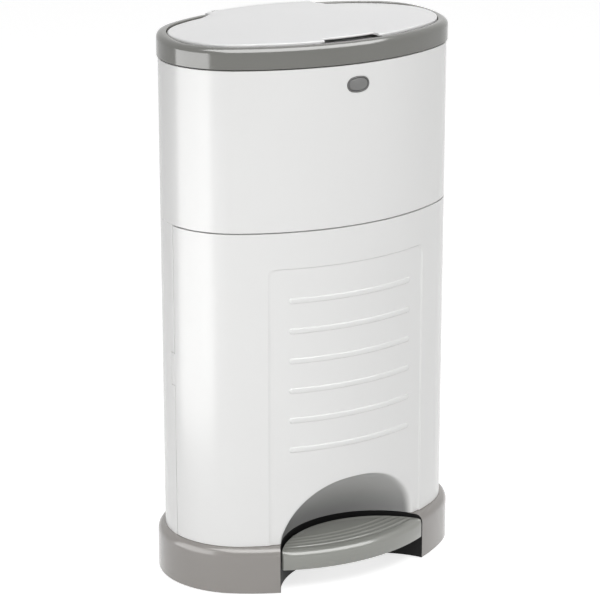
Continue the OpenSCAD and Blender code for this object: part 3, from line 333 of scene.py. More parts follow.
# shapes
def ovalShape(endX, halfDepth, endRadius):
    # Four tangent arcs: long radius R = (c^2 + b^2 - r^2) / (2 (b - r)), about (0, +-(R - b))
    big = (endX ** 2 + halfDepth ** 2 - endRadius ** 2) / (2 * (halfDepth - endRadius))
    off = big - halfDepth
    join = math.atan2(off, endX)
    half, side = big * (math.pi / 2 - join), 2 * endRadius * join
    return {"c": endX, "r": endRadius, "big": big, "off": off, "join": join, "half": half, "side": side,
            "total": 4 * half + 2 * side}


def ovalPoint(oval, s):
    # Point and outward normal at arc length s from the front middle, +X side first
    total = oval["total"]
    s = np.mod(np.asarray(s, float) + total / 2, total) - total / 2
    a = np.abs(s)
    front, end = a <= oval["half"], a <= oval["half"] + oval["side"]
    phi = a / oval["big"]
    theta = (a - oval["half"]) / oval["r"] - oval["join"]
    rear = (2 * oval["half"] + oval["side"] - a) / oval["big"]
    pick = lambda f, e, b: np.where(front, f, np.where(end, e, b))
    nx = pick(np.sin(phi), np.cos(theta), np.sin(rear))
    ny = pick(-np.cos(phi), np.sin(theta), np.cos(rear))
    x = pick(oval["big"] * nx, oval["c"] + oval["r"] * nx, oval["big"] * nx)
    y = pick(oval["off"] + oval["big"] * ny, oval["r"] * ny, oval["big"] * ny - oval["off"])
    sign = np.where(s < 0, -1.0, 1.0)
    return x * sign, y, nx * sign, ny


def ovalFront(oval, x):
    # Arc length at a given x on the front arc: s = R asin(x / R)
    return oval["big"] * np.arcsin(np.asarray(x, float) / oval["big"])


def ovalEnd(oval, y):
    # Arc length at a given y on the right end: s = half + r (asin(y / r) + join)
    return oval["half"] + oval["r"] * (np.arcsin(np.asarray(y, float) / oval["r"]) + oval["join"])


def spaced(marks, step):
    # Rising values through all marks, no further apart than step
    marks = np.unique(np.round(marks, 6))
    runs = [np.linspace(a, b, max(int(math.ceil((b - a) / step)), 1) + 1)[:-1] for a, b in zip(marks[:-1], marks[1:])]
    return np.concatenate(runs + [marks[-1:]])


def gridFaces(rows, cols, closeRows=False, closeCols=False):
    # Quads of a grid of rows along the outline and columns up the profile, facing outwards
    i = np.arange(rows if closeRows else rows - 1)[:, None]
    j = np.arange(cols if closeCols else cols - 1)[None, :]
    up, on = (j + 1) % cols, (i + 1) % rows
    return np.stack([i * cols + j, on * cols + j, on * cols + up, i * cols + up], -1).reshape(-1, 4)


def sweep(oval, s, profile):
    # Carries a profile of (offset, z) along the oval: point = P(s) + N(s) offset
    x, y, nx, ny = ovalPoint(oval, s)
    off, z = profile[..., 0], profile[..., 1]
    if off.ndim == 1:
        off, z = off[None, :], z[None, :]
    px = x[:, None] + nx[:, None] * off
    py = y[:, None] + ny[:, None] * off
    return np.stack([px, py, z + 0 * px], -1)


def roundCorner(x0, z0, x1, z1, bulge, n=6):
    # Quarter ellipse from (x0, z0) to (x1, z1), first leaving along z when bulge is "z", else along x
    a = np.linspace(0, math.pi / 2, n + 1)
    if bulge == "z":
        return np.stack([x0 + (x1 - x0) * (1 - np.cos(a)), z0 + (z1 - z0) * np.sin(a)], -1)
    return np.stack([x0 + (x1 - x0) * np.sin(a), z0 + (z1 - z0) * (1 - np.cos(a))], -1)


def smoothStep(a, b, v):
    t = np.clip((v - a) / (b - a), 0, 1)
    return t * t * (3 - 2 * t)


def softMax(a, b, width):
    # Rounded maximum: (a + b + sqrt((a - b)^2 + w^2)) / 2
    return 0.5 * (a + b + np.sqrt((a - b) ** 2 + width ** 2))


def addPiece(name, body, slot, points, faceSets, nodes=(), sharp=38, weld=0.0, recalc=False, wall=None, edge=None,
             material=None):
    mesh = bpy.data.meshes.new(name)
    faces = [face for part in faceSets for face in np.asarray(part).tolist()]
    mesh.from_pydata((np.asarray(points, float).reshape(-1, 3) / 1000).tolist(), [], faces)
    if weld or recalc:
        import bmesh
        bm = bmesh.new()
        bm.from_mesh(mesh)
        if weld:
            bmesh.ops.remove_doubles(bm, verts=bm.verts, dist=weld / 1000)
            bmesh.ops.dissolve_degenerate(bm, edges=bm.edges, dist=1e-7)
        if recalc:
            bmesh.ops.recalc_face_normals(bm, faces=bm.faces)
        bm.to_mesh(mesh)
        bm.free()
    mesh.polygons.foreach_set("use_smooth", np.ones(len(mesh.polygons), bool))
    mesh.set_sharp_from_angle(angle=math.radians(sharp))
    obj = bpy.data.objects.new(name, mesh)
    bpy.context.scene.collection.objects.link(obj)
    mesh.materials.append(finishes[material or slot])
    if wall:
        mod = obj.modifiers.new("wall", "SOLIDIFY")
        mod.thickness, mod.offset = wall / 1000, -1
        mod.use_even_offset = True
        mod.use_quality_normals = True
    if edge:
        mod = obj.modifiers.new("edge", "BEVEL")
        mod.width, mod.segments, mod.limit_method = edge / 1000, 2, "ANGLE"
        mod.angle_limit = math.radians(50)
        mod.harden_normals = True
    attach(obj, body)
    if nodes:
        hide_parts(*nodes)
    return obj


def mergeParts(parts):
    # Joins (points, faceSets) pairs into one set, shifting each part's vertex numbers
    points, faces, base = [], [], 0
    for pts, sets in parts:
        pts = np.asarray(pts, float).reshape(-1, 3)
        points.append(pts)
        faces += [np.asarray(f) + base for f in sets]
        base += len(pts)
    return np.concatenate(points), faces


def lathePart(profile, n=48, axis="z", centre=(0, 0, 0)):
    # Turns a closed profile of (radius, height) about an axis through centre
    t = np.arange(n) * 2 * math.pi / n
    r, h = np.asarray(profile, float).T
    a = np.cos(t)[:, None] * r
    b = np.sin(t)[:, None] * r
    c = np.zeros(n)[:, None] + h
    order = {"z": (a, b, c), "x": (c, a, b), "y": (b, c, a)}[axis]
    pts = np.stack(order, -1) + np.asarray(centre, float)
    return pts, [gridFaces(n, len(r), True, True)]


def rodPart(radius, low, high, axis, centre, n=40, chamfer=0.3):
    # Solid round bar with small chamfers
    c = min(chamfer, radius / 3)
    return lathePart([(0, low), (radius - c, low), (radius, low + c), (radius, high - c), (radius - c, high), (0, high)],
                     n, axis, centre)


def prismPart(outline, low, high):
    # Prism along X of a closed outline of (y, z)
    outline = np.asarray(outline, float)
    n = len(outline)
    ends = [np.column_stack([np.full(n, x), outline]) for x in (low, high)]
    caps = np.stack([np.arange(n), np.arange(n)[::-1] + n])
    return np.concatenate(ends), [gridFaces(2, n, False, True), caps]


def tubePart(rings):
    # Closes a run of closed outlines, n by k by 3, into a solid with flat ends
    n, k = rings.shape[:2]
    return rings, [gridFaces(n, k, False, True), np.stack([np.arange(k), np.arange(k)[::-1] + (n - 1) * k])]


shell = ovalShape(75.25, 97.0, 77.0)
foot = ovalShape(75.25, 109.56, 84.45)
heights = {"base": 47.5, "doorLow": 47.9, "doorHigh": 367.3, "seam": 368.5, "collar": 525.5, "rim": 547.0, "top": 554.42}


# upper shell, with the button's hole
upperShell = {"wall": 3.0, "edge": 0.45, "step": 3.0, "holeHalf": (12.2, 7.7), "buttonZ": 506.0, "window": (20.0, 14.0)}


def buttonOutline(grow, angle):
    # Oval of the button in its face plane, (x, z) from its middle, at the given polar angles
    oval = ovalShape(5.3, 6.0, 5.2)
    x, y, nx, ny = ovalPoint(oval, np.linspace(0, oval["total"], 721)[:-1])
    x, y = x + nx * grow, y + ny * grow
    around = np.arctan2(y, x)
    order = np.argsort(around)
    around, x, y = around[order], x[order], y[order]
    around = np.concatenate([around - 2 * math.pi, around, around + 2 * math.pi])
    return np.interp(angle, around, np.tile(x, 3)), np.interp(angle, around, np.tile(y, 3))


def onFront(x, z, out=0.0):
    # Point of the body's front at (x, z), moved out along its normal
    px, py, nx, ny = ovalPoint(shell, ovalFront(shell, x))
    return np.stack([px + nx * out, py + ny * out, z + 0 * px], -1)


def makeUpperShell(v):
    low, high = heights["seam"], heights["collar"]
    wx, wz = v["window"]
    mid = v["buttonZ"]
    cols = np.linspace(-wx, wx, 21)
    s = np.concatenate([cols, spaced([wx, shell["half"], shell["half"] + shell["side"] / 2, shell["total"] / 2], v["step"])[1:]])
    s = np.concatenate([s, -s[s > wx][:-1][::-1] + shell["total"]])
    z = np.unique(np.round(np.concatenate([np.linspace(mid - wz, mid + wz, 15), spaced([low, mid - wz], 8), spaced([mid + wz, high], 4)]), 5))
    grid = sweep(shell, s, np.stack([0 * z, z], -1))
    faces = gridFaces(len(s), len(z), True)
    ci, cj = faces[:, 0] // len(z), faces[:, 0] % len(z)
    j0, j1 = np.searchsorted(z, mid - wz - 0.01), np.searchsorted(z, mid + wz - 0.01)
    hole = (ci < 20) & (cj >= j0) & (cj < j1)
    faces = faces[~hole]
    # Ring of window nodes, anticlockwise seen from the front, and rings that close in on the hole
    i, j = np.arange(21), np.arange(j0, j1 + 1)
    loop = np.concatenate([i * len(z) + j0, 20 * len(z) + j[1:], i[::-1][1:] * len(z) + j1, j[::-1][1:-1]])
    ws = cols[np.clip(loop // len(z), 0, 20)]
    wzz = z[loop % len(z)] - mid
    hx, hz = buttonOutline(1.9, np.arctan2(wzz, ws))
    k = np.array([0.35, 0.62, 0.8, 0.92, 1.0])[:, None]
    rings = onFront(ws * (1 - k) + hx * k, mid + wzz * (1 - k) + hz * k)
    base, n = len(s) * len(z), len(loop)
    ids = np.concatenate([loop[None, :], base + np.arange(5 * n).reshape(5, n)])
    nxt = np.roll(ids, -1, axis=1)
    patch = np.stack([ids[:-1], nxt[:-1], nxt[1:], ids[1:]], -1).reshape(-1, 4)
    points = np.concatenate([grid.reshape(-1, 3), rings.reshape(-1, 3)])
    brackets = []
    for side in (-1, 1):   # knuckles of the fold hinge on webs down to the wall
        x0 = side * 39 - 5
        brackets.append(prismPart([(90.4, 509.5), (101.9, 521.9), (104.2, 523.9), (104.2, 524.9), (90.4, 524.9)], x0, x0 + 10))
        brackets.append(lathePart([(2.05, x0), (4.5, x0), (4.5, x0 + 10), (2.05, x0 + 10)], 40, "x", (0, 104.2, 527.5)))
    addPiece("upperShell", "body", "body_white", points, [faces, patch], ["upper_shell"], wall=v["wall"], edge=v["edge"])
    addPiece("foldBrackets", "body", "body_white", *mergeParts(brackets), ["upper_shell"], recalc=True)


makeUpperShell(upperShell)


# release button and its dark ring
button = {"ringOut": 1.75, "ringIn": 0.30, "ringHeight": 0.55, "faceHeight": 1.15, "crown": 0.75, "backY": -91.9}


def makeButton(v):
    n = 96
    t = np.arange(n) * 2 * math.pi / n
    ring = np.array([(v["ringOut"], -6.0), (v["ringOut"], 0.15), (v["ringOut"] - 0.15, 0.42), (v["ringOut"] - 0.5, v["ringHeight"]),
                     (v["ringIn"] + 0.35, v["ringHeight"]), (v["ringIn"], 0.25), (v["ringIn"], -6.0)])
    rows = []
    for grow, out in ring:
        x, z = buttonOutline(grow, t)
        rows.append(onFront(x, upperShell["buttonZ"] + z, out))
    points = np.stack(rows, 1)
    addPiece("buttonRing", "body", "dark_plastic", points, [gridFaces(n, len(ring), True, True)[:, ::-1]], ["button_bezel"],
             recalc=True, sharp=60, material="ring_grey")
    # Face: crowned, height = side + crown (1 - q^2) over the fraction q of the way to its edge
    rows = []
    for q in np.linspace(0.0, 1.0, 13):
        x, z = buttonOutline(-0.35, t)
        rows.append(onFront(x * q, upperShell["buttonZ"] + z * q, v["faceHeight"] - v["crown"] * q ** 2))
    x, z = buttonOutline(-0.08, t)
    rows.append(onFront(x, upperShell["buttonZ"] + z, v["faceHeight"] - v["crown"] - 0.35))
    rows += [np.stack([x * k, 0 * x + v["backY"], upperShell["buttonZ"] + z * k], -1) for k in (1, 0)]
    points = np.stack(rows, 1)
    stem = [(v["backY"] - 1, 503.5), (v["backY"] - 1, 508.5), (-80.6, 508.5), (-80.6, 503.5)]
    face = (points, [gridFaces(n, points.shape[1], True)])
    addPiece("buttonFace", "button", "button_grey", *mergeParts([face, prismPart(stem, -4, 4)]), ["release_button"],
             weld=0.002, recalc=True, sharp=50)


makeButton(button)
print("stage: upper shell and button made")


# front door
door = {
    "wall": 3.0, "edge": 0.4, "seamY": -4.8, "hingeY": -9.4,
    "panelHalf": 90.0, "panelTop": 332.0, "panelCorner": 9.0, "panelSink": 1.4, "panelEdge": 1.3,
    "ribLow": 146.5, "ribPitch": 30.5, "ribCount": 6, "ribHalf": 70.5, "ribHigh": 2.8,
    "archHeight": 61.7, "archIn": 38.0, "archRadius": 96.70, "archY": -138.20, "archSoftLeft": 1.2, "archSoftRight": 3.0,
    "archPower": 0.56, "archFall": 1.5, "archLean": 1.5,
}


rearKnuckles = ((48.1, 61.5), (197.5, 211.5), (353.3, 367.3))    # heights of the rear shell's hinge knuckles


def archDepth(v, x, z, yBody):
    # How far the toe arch cuts in: a surface turned about an upright axis in front of the bin,
    # height = low + h (1 - u^fall)^power, with u the share of the way from the inner to the outer radius
    rise = np.clip((z - heights["doorLow"]) / v["archHeight"], 0, 1)
    x = x - v["archLean"] * smoothStep(0, 0.35, rise)
    u = np.clip(1 - rise ** (1 / v["archPower"]), 0, 1) ** (1 / v["archFall"])
    radius = v["archIn"] + (v["archRadius"] - v["archIn"]) * u
    radius = np.where(z > heights["doorLow"] + v["archHeight"], v["archIn"] - (z - heights["doorLow"] - v["archHeight"]) * 6, radius)
    inside = radius ** 2 - x ** 2
    y = v["archY"] + np.where(inside > 0, np.sqrt(np.maximum(inside, 0)), inside * 0.02)
    return y - yBody


def doorRelief(v, x, z):
    # Depth below the body's surface: a sunk panel with capsule ribs standing up in it
    dx = np.abs(x) - (v["panelHalf"] - v["panelCorner"])
    dz = z - (v["panelTop"] - v["panelCorner"])
    dist = np.hypot(np.maximum(dx, 0), np.maximum(dz, 0)) + np.minimum(np.maximum(dx, dz), 0) - v["panelCorner"]
    sink = v["panelSink"] * smoothStep(0.0, -v["panelEdge"], dist)
    k = np.clip(np.round((z - v["ribLow"]) / v["ribPitch"]), 0, v["ribCount"] - 1)
    rz = z - (v["ribLow"] + k * v["ribPitch"])
    rx = np.maximum(np.abs(x) - (v["ribHalf"] - v["ribHigh"]), 0)
    q = np.clip(np.hypot(rx, rz) / v["ribHigh"], 0, 1)
    return sink - v["panelSink"] * np.sqrt(np.clip(1 - q ** 3.2, 0, 1)) * (sink > 0)


def makeDoor(v):
    left, right = -float(ovalEnd(shell, v["seamY"])), float(ovalEnd(shell, v["hingeY"]))
    ph = float(ovalFront(shell, v["panelHalf"]))
    rh = float(ovalFront(shell, v["ribHalf"]))
    fine = [c + d for c in (-ph, ph) for d in (-2.4, -1.4, -0.9, -0.4, 0.0, 0.6)]
    ends = [sgn * (rh - d) for sgn in (-1, 1) for d in (-0.5, 0.0, 0.4, 0.9, 1.5, 2.2, 2.9, 4.0)]
    arch = np.linspace(-86, 86, 116)
    notch = float(ovalEnd(shell, v["hingeY"] - 5.3))
    s = spaced(np.concatenate([[left, -shell["half"], shell["half"], notch, right], fine, ends, arch]), 3.0)
    low, high = heights["doorLow"], heights["doorHigh"]
    marks = [low, high, low + v["archHeight"]] + [h for a, b in rearKnuckles for h in (a - 0.3, b + 0.3) if low < h < high]
    marks += [v["panelTop"] - d for d in (-0.5, 0.0, 0.4, 0.8, 1.3, 2.2, 3.6, 5.2, 7.0, 9.0, 12.0)]
    for i in range(v["ribCount"]):
        c = v["ribLow"] + i * v["ribPitch"]
        marks += [c + d for d in (-3.6, -2.95, -2.8, -2.6, -2.3, -1.8, -0.9, 0.0, 0.9, 1.8, 2.3, 2.6, 2.8, 2.95, 3.6)]
    top = low + v["archHeight"]
    z = spaced(np.concatenate([marks, np.arange(low, top - 16, 1.6), np.arange(top - 16, top + 3, 0.6)]), 5.0)
    x, y, nx, ny = ovalPoint(shell, s)
    xx, zz = x[:, None] + 0 * z[None, :], z[None, :] + 0 * x[:, None]
    cut = doorRelief(v, xx, zz) * (ny[:, None] < 0)
    px, py = xx - nx[:, None] * cut, y[:, None] - ny[:, None] * cut
    deep = archDepth(v, px, zz, py)
    soft = v["archSoftLeft"] + (v["archSoftRight"] - v["archSoftLeft"]) * smoothStep(30, 75, px)
    near = (np.abs(px) < 92) & (zz < top + 12)
    push = np.where(near, softMax(deep, 0.0, soft) - softMax(-40.0, 0.0, soft), 0.0)
    push *= smoothStep(92, 87, np.abs(px)) * smoothStep(top + 12, top + 4, zz)
    points = np.stack([px, py + push, zz], -1)
    faces = gridFaces(len(s), len(z))
    si, zi = s[faces[:, 1] // len(z)], z[faces[:, 0] % len(z)]
    cut = np.zeros(len(faces), bool)
    for a, b in rearKnuckles:     # the door's edge stands back from the rear shell's knuckles
        cut |= (si > notch + 0.01) & (zi > a - 0.31) & (zi < b + 0.29)
    panel = addPiece("doorPanel", "door", "body_white", points, [faces[~cut]], ["front_door"], wall=v["wall"],
                     edge=v["edge"], sharp=60, material="door_white")
    # Painted shade in the toe arch, darkest at its foot: how deep the arch is there times the share of its height still
    # above
    shadeMask = smoothStep(1.0, 9.0, push) * (0.25 + 0.75 * smoothStep(top - 8, low, zz) ** 1.3)
    panel.data.attributes.new("paintedArchShade", "FLOAT", "POINT").data.foreach_set("value", shadeMask.ravel())
    # Hinge barrels between the rear shell's knuckles
    hx, hy = 146.634, -9.398
    parts = [lathePart([(2.05, a), (4.6, a), (5.0, a + 0.4), (5.0, b - 0.4), (4.6, b), (2.05, b)], 48, "z", (hx, hy, 0))
             for a, b in ((61.9, 197.1), (211.9, 352.9))]
    addPiece("doorBarrels", "door", "body_white", *mergeParts(parts), ["front_door"], sharp=50)


makeDoor(door)
print("stage: door made")


# rear shell
rearShell = {"wall": 3.0, "edge": 0.4, "seamY": -3.6, "hingeY": -3.4, "tabLow": 204.6, "tabHigh": 238.4, "tabY": 3.3}


def makeRearShell(v):
    total = shell["total"]
    right = float(ovalEnd(shell, v["hingeY"]))
    left = total - float(ovalEnd(shell, v["seamY"]))
    tab = total - float(ovalEnd(shell, v["tabY"]))
    s = spaced([right, shell["half"] + shell["side"], total / 2, total - shell["half"] - shell["side"], tab, left], 3.0)
    z = spaced([heights["base"], v["tabLow"], v["tabHigh"], heights["seam"]], 10.0)
    grid = sweep(shell, s, np.stack([0 * z, z], -1))
    faces = gridFaces(len(s), len(z))
    si, zi = s[faces[:, 0] // len(z)], z[faces[:, 0] % len(z)]
    notch = (si > tab - 0.01) & (zi > v["tabLow"] - 0.01) & (zi < v["tabHigh"] - 0.01)
    addPiece("rearShell", "body", "body_white", grid, [faces[~notch]], ["rear_shell"], wall=v["wall"], edge=v["edge"])
    parts = []
    hx, hy = 146.634, -9.398
    for a, b in rearKnuckles:   # on their webs
        parts.append(lathePart([(2.05, a), (4.7, a), (5.0, a + 0.3), (5.0, b - 0.3), (4.7, b), (2.05, b)], 48, "z", (hx, hy, 0)))
        web = np.array([(hx - 3.5, hy + 3.0), (hx + 4.2, hy + 3.0), (hx + 5.15, hy + 7.0), (hx + 4.8, hy + 9.0), (hx + 1.0, hy + 9.0), (hx - 3.0, hy + 7.5)])
        ends = [np.column_stack([web, np.full(len(web), h)]) for h in (a, b)]
        n = len(web)
        parts.append((np.concatenate(ends), [gridFaces(2, n, False, True)[:, ::-1], np.stack([np.arange(n)[::-1], np.arange(n) + n])]))
    addPiece("rearKnuckles", "body", "body_white", *mergeParts(parts), ["rear_shell"], recalc=True, sharp=50)
    # Strip behind the left seam, which closes the view through it, and the screw bosses
    s = total - np.linspace(float(ovalEnd(shell, 10.4)), float(ovalEnd(shell, -11.6)), 12)
    pieces = []
    for z0, z1 in ((heights["base"] + 0.4, v["tabLow"]), (v["tabHigh"], heights["seam"] - 14)):
        profile = np.array([(-3.45, z0), (-3.45, z1), (-5.5, z1), (-5.5, z0)])
        grid = sweep(shell, s, profile)
        n = len(profile)
        caps = np.stack([np.arange(n), np.arange(n)[::-1] + (len(s) - 1) * n])
        pieces.append((grid, [gridFaces(len(s), n, False, True), caps]))
    for side, turn in ((-1, 12), (-1, 58), (1, 20), (1, 58)):
        cx = side * (75.25 + 70 * math.cos(math.radians(turn)))
        cy = 70 * math.sin(math.radians(turn))
        pieces.append(lathePart([(2.1, 47.9), (5.0, 47.9), (5.0, 61.5), (2.1, 61.5)], 32, "z", (cx, cy, 0)))
    addPiece("rearRibs", "body", "body_white", *mergeParts(pieces), ["rear_shell"], recalc=True)


makeRearShell(rearShell)

latch = {"low": 205.0, "high": 238.0, "y0": -4.3, "y1": 2.8, "wall": 3.0}


def makeLatch(v):
    s = shell["total"] - np.linspace(float(ovalEnd(shell, v["y1"])), float(ovalEnd(shell, v["y0"])), 8)
    z = spaced([v["low"], v["high"]], 4.0)
    grid = sweep(shell, s, np.stack([0 * z, z], -1))
    addPiece("latchTab", "latch_tab", "body_white", grid, [gridFaces(len(s), len(z))], ["door_latch"], wall=v["wall"], edge=0.5)
    stem = prismPart([(-3.6, 213), (1.4, 213), (1.4, 230), (-3.6, 230)], -150.25, -140.25)
    hook = prismPart([(-16.6, 217), (1.4, 217), (1.4, 226), (-16.6, 226)], -144.25, -140.25)
    addPiece("latchStem", "latch_tab", "body_white", *mergeParts([stem, hook]), ["door_latch"], recalc=True)


makeLatch(latch)
print("stage: rear shell and latch made")


# plinth
plinth = {
    "wall": 3.0, "edge": 0.4, "low": 1.0, "side": 7.5, "shoulder": 8.5, "ledge": 16.5, "recessRadius": 96.70, "recessY": -138.20,
    "slotFrom": 40.0, "slotTo": 50.0, "armTop": 41.4, "shadeSheetDepth": 0.25,
}


def recessEnd(v, offset):
    # Arc length on the plinth's outline where the recess cylinder crosses it, by bisection on the front arc
    lo, hi = np.full(offset.shape, 40.0), np.full(offset.shape, 115.0)
    for _ in range(50):
        mid = (lo + hi) / 2
        x, y, nx, ny = ovalPoint(foot, mid)
        inside = np.hypot(x + nx * offset, y + ny * offset - v["recessY"]) < v["recessRadius"]
        lo, hi = np.where(inside, mid, lo), np.where(inside, hi, mid)
    return (lo + hi) / 2


def makePlinth(v):
    top, low, wall = heights["base"], v["low"], v["wall"]
    deckLow = top - 3.4
    # Outer wall, shoulder and ledge as one closed profile, swept from one recess corner round to the other
    profile = np.concatenate([
        [(0, low), (0, low + 1.5), (0, 20), (0, top - v["shoulder"] - 3)],
        roundCorner(0, top - v["shoulder"], -v["side"] + 0.1, top, "z", 10),
        [(-v["side"] - 2, top), (-v["ledge"], top), (-v["ledge"], top - 3), (-wall - 2, top - 6), (-wall, top - v["shoulder"] - 2), (-wall, low)]])
    off, z = profile.T
    start = recessEnd(v, off)
    s = start[None, :] + (foot["total"] - 2 * start[None, :]) * np.linspace(0, 1, 300)[:, None]
    x, y, nx, ny = ovalPoint(foot, s)
    band = tubePart(np.stack([x + nx * off, y + ny * off, z + 0 * s], -1))
    # Deck plate with its front edge behind the recess wall
    inner = np.array([-v["ledge"] + 2.0])
    s0 = float(recessEnd(v, inner)[0])
    x, y, nx, ny = ovalPoint(foot, np.linspace(s0, foot["total"] - s0, 160))
    edge = np.stack([x + nx * inner, y + ny * inner], -1)
    a = np.linspace(math.atan2(edge[-1, 1] - v["recessY"], edge[-1, 0]), math.atan2(edge[0, 1] - v["recessY"], edge[0, 0]), 62)[1:-1]
    behind = v["recessRadius"] + wall + 0.02
    arc = np.stack([behind * np.cos(a), v["recessY"] + behind * np.sin(a)], -1)
    loop = np.concatenate([edge, arc])
    deck = tubePart(np.stack([np.column_stack([loop, np.full(len(loop), h)]) for h in (deckLow, top - 0.4)]))
    parts = [band, deck]
    # Near-black sheets just off the band's cut ends: painted shade in the narrow gaps beside the pedal
    endShadeSheets = []
    for end in (band[0][0], band[0][-1]):
        away = np.hypot(end[:, 0], end[:, 1] - v["recessY"])[:, None]
        endShadeSheets.append(tubePart(np.stack([end, end - (end - [0, v["recessY"], 0]) * [1, 1, 0] / away * v["shadeSheetDepth"]])))
    # Recess wall, slotted for the two pedal arms and closed above and below them, in near-black painted shade instead
    # of plinth grey
    def sector(x0, x1, z0, z1):
        a0, a1 = math.acos(x0 / v["recessRadius"]), math.acos(x1 / v["recessRadius"])
        a = np.linspace(a0, a1, max(int(abs(a1 - a0) * 40), 2))[:, None]
        r = np.array([0, wall, wall, 0])[None, :] + v["recessRadius"]
        h = np.array([z0, z0, z1, z1])[None, :] + 0 * a
        return tubePart(np.stack([r * np.cos(a), v["recessY"] + r * np.sin(a), h], -1))
    bandEnd = np.array([-wall])
    x, y, nx, ny = ovalPoint(foot, recessEnd(v, bandEnd))
    corner = float(x[0] + nx[0] * bandEnd[0]) + 0.2
    reach = float(edge[0, 0])
    walls = endShadeSheets + [sector(-reach, reach, deckLow, top - 0.4)] + [sector(x0, x1, low, deckLow) for x0, x1 in
                      ((-corner, -v["slotTo"]), (-v["slotFrom"], v["slotFrom"]), (v["slotTo"], corner))]
    for side in (-1, 1):
        ends = sorted((side * v["slotFrom"], side * v["slotTo"]))
        walls += [sector(*ends, low, 4.0), sector(*ends, v["armTop"], deckLow)]
    for cx, cy in ((-112.25, 40), (112.25, 40), (-109.25, -48), (109.25, -48)):
        parts.append(lathePart([(0, 1.0), (10.6, 1.0), (11, 1.4), (11, 44.4), (0, 44.4)], 40, "z", (cx, cy, 0)))
    for side, turn in ((-1, 12), (-1, 58), (1, 20), (1, 58)):
        cx = side * (75.25 + 70 * math.cos(math.radians(turn)))
        cy = 70 * math.sin(math.radians(turn))
        parts.append(lathePart([(2.3, 13), (5.0, 13), (5.0, 44.4), (2.3, 44.4)], 32, "z", (cx, cy, 0)))
    for side in (-1, 1):   # brackets of the pedal's pivot pin
        mid = side * 53.0
        parts.append(prismPart([(-34, 5), (-34, 44.4), (-14, 44.4), (-14, 5)], mid - 3, mid + 3))
    addPiece("plinthShell", "body", "plinth_grey", *mergeParts(parts), ["base_plinth"], weld=0.0005, recalc=True,
             edge=v["edge"], sharp=40)
    # The recess wall and the end sheets take the near-black painted shade, not the plinth's grey
    addPiece("recessWall", "body", "plinth_grey", *mergeParts(walls), ["base_plinth"], recalc=True, sharp=40,
             material="shadow_plastic")


makePlinth(plinth)
print("stage: plinth made")


# pedal
pedal = {
    "half": 82.4, "front": 113.0, "frontCorner": 93.5, "rear": 46.5, "rearCorner": 89.6, "low": 25.0, "top": 44.0,
    "roundWide": 10.0, "roundHigh": 6.0, "wall": 3.0, "ridges": (17.0, 24.5, 32.0, 39.5), "ridgeHigh": 1.0, "ridgeWide": 1.8, "dish": 0.8,
    "endRound": 1.6,
}


def arcSag(half, rise, x):
    # How far a circular arc with this half width and rise falls back at x: R - sqrt(R^2 - x^2)
    radius = (half ** 2 + rise ** 2) / (2 * rise)
    return radius - np.sqrt(radius ** 2 - x ** 2)


def treadSheet(v, grow, x, rowsIn):
    # Top surface over the outline shrunk by grow: front and rear edges are arcs, the front edge a quarter ellipse
    half = v["half"] - grow
    xs = np.clip(x, -half, half)
    yf = -v["front"] + arcSag(v["half"], v["front"] - v["frontCorner"], xs) + grow
    yr = -v["rear"] - arcSag(v["half"], v["rearCorner"] - v["rear"], xs) - grow
    depth = (yr - yf)[:, None]
    wide = np.minimum(v["roundWide"], depth * 0.5)
    t = rowsIn[None, :]
    curl = 1 - np.cos(np.clip(t, 0, 1) * math.pi / 2)
    d = np.where(t <= 1, wide * curl, wide + (depth - wide) * (t - 1))
    q = np.clip(d / wide, 0, 1)
    z = v["top"] - grow - v["roundHigh"] * (1 - np.sqrt(np.clip(1 - (1 - q) ** 2, 0, 1)))
    if grow == 0:
        room = smoothStep(0.8, 6.0, depth - d) * smoothStep(0, 5, half - np.abs(xs))[:, None]
        for at in v["ridges"]:
            bulge = np.clip(1 - ((d - at) / v["ridgeWide"]) ** 2, 0, 1)
            z = z + v["ridgeHigh"] * bulge * room
        z = z - v["dish"] * smoothStep(10.0, 14.0, d) * room
        side = np.clip(np.minimum((half - np.abs(xs))[:, None], depth - d) / v["endRound"], 0, 1)
        z = z - v["endRound"] * 0.7 * (1 - np.sqrt(1 - (1 - side) ** 2))
    return np.stack([xs[:, None] + 0 * d, yf[:, None] + d, z], -1)


def makePedal(v):
    near = [sgn * (v["half"] - e) for sgn in (-1, 1) for e in (0.0, 0.05, 0.2, 0.45, 0.8, 1.2, 1.6, 2.4, 3.0)]
    x = spaced(np.concatenate([near, [0]]), 1.6)
    across = np.concatenate([np.linspace(0, 1, 12), 1 + spaced([0, 0.93], 0.0105)[1:], 1 + np.array([0.955, 0.97, 0.982, 0.992, 1.0])])
    top, under = treadSheet(v, 0.0, x, across), treadSheet(v, v["wall"], x, across)
    rows, cols = top.shape[:2]
    # Boundary loop, anticlockwise from above: front edge, right end, rear edge, left end
    i, j = np.arange(rows), np.arange(cols)
    loop = np.concatenate([i * cols, (rows - 1) * cols + j[1:], i[::-1][1:] * cols + cols - 1, j[::-1][1:-1]])
    rim, inner = top.reshape(-1, 3)[loop], under.reshape(-1, 3)[loop]
    low, flat = v["low"], rim * [1, 1, 0]
    levels = [rim, flat + [0, 0, 1] * np.maximum(rim[:, 2:] - 1.2, low + 1), flat + [0, 0, low + 0.6],
              flat * [0.997, 0.997, 1] + [0, 0, low], inner * [1, 1, 0] + [0, 0, low], inner]
    skirt = np.stack(levels, 1)
    sheet = gridFaces(rows, cols)
    parts = [(top, [sheet]), (skirt, [gridFaces(len(loop), len(levels), True)[:, ::-1]]), (under, [sheet[:, ::-1]])]
    addPiece("pedalTread", "pedal", "pedal_grey", *mergeParts(parts), ["pedal_tread"], weld=0.0005, recalc=True, sharp=42)


makePedal(pedal)
print("stage: pedal made")


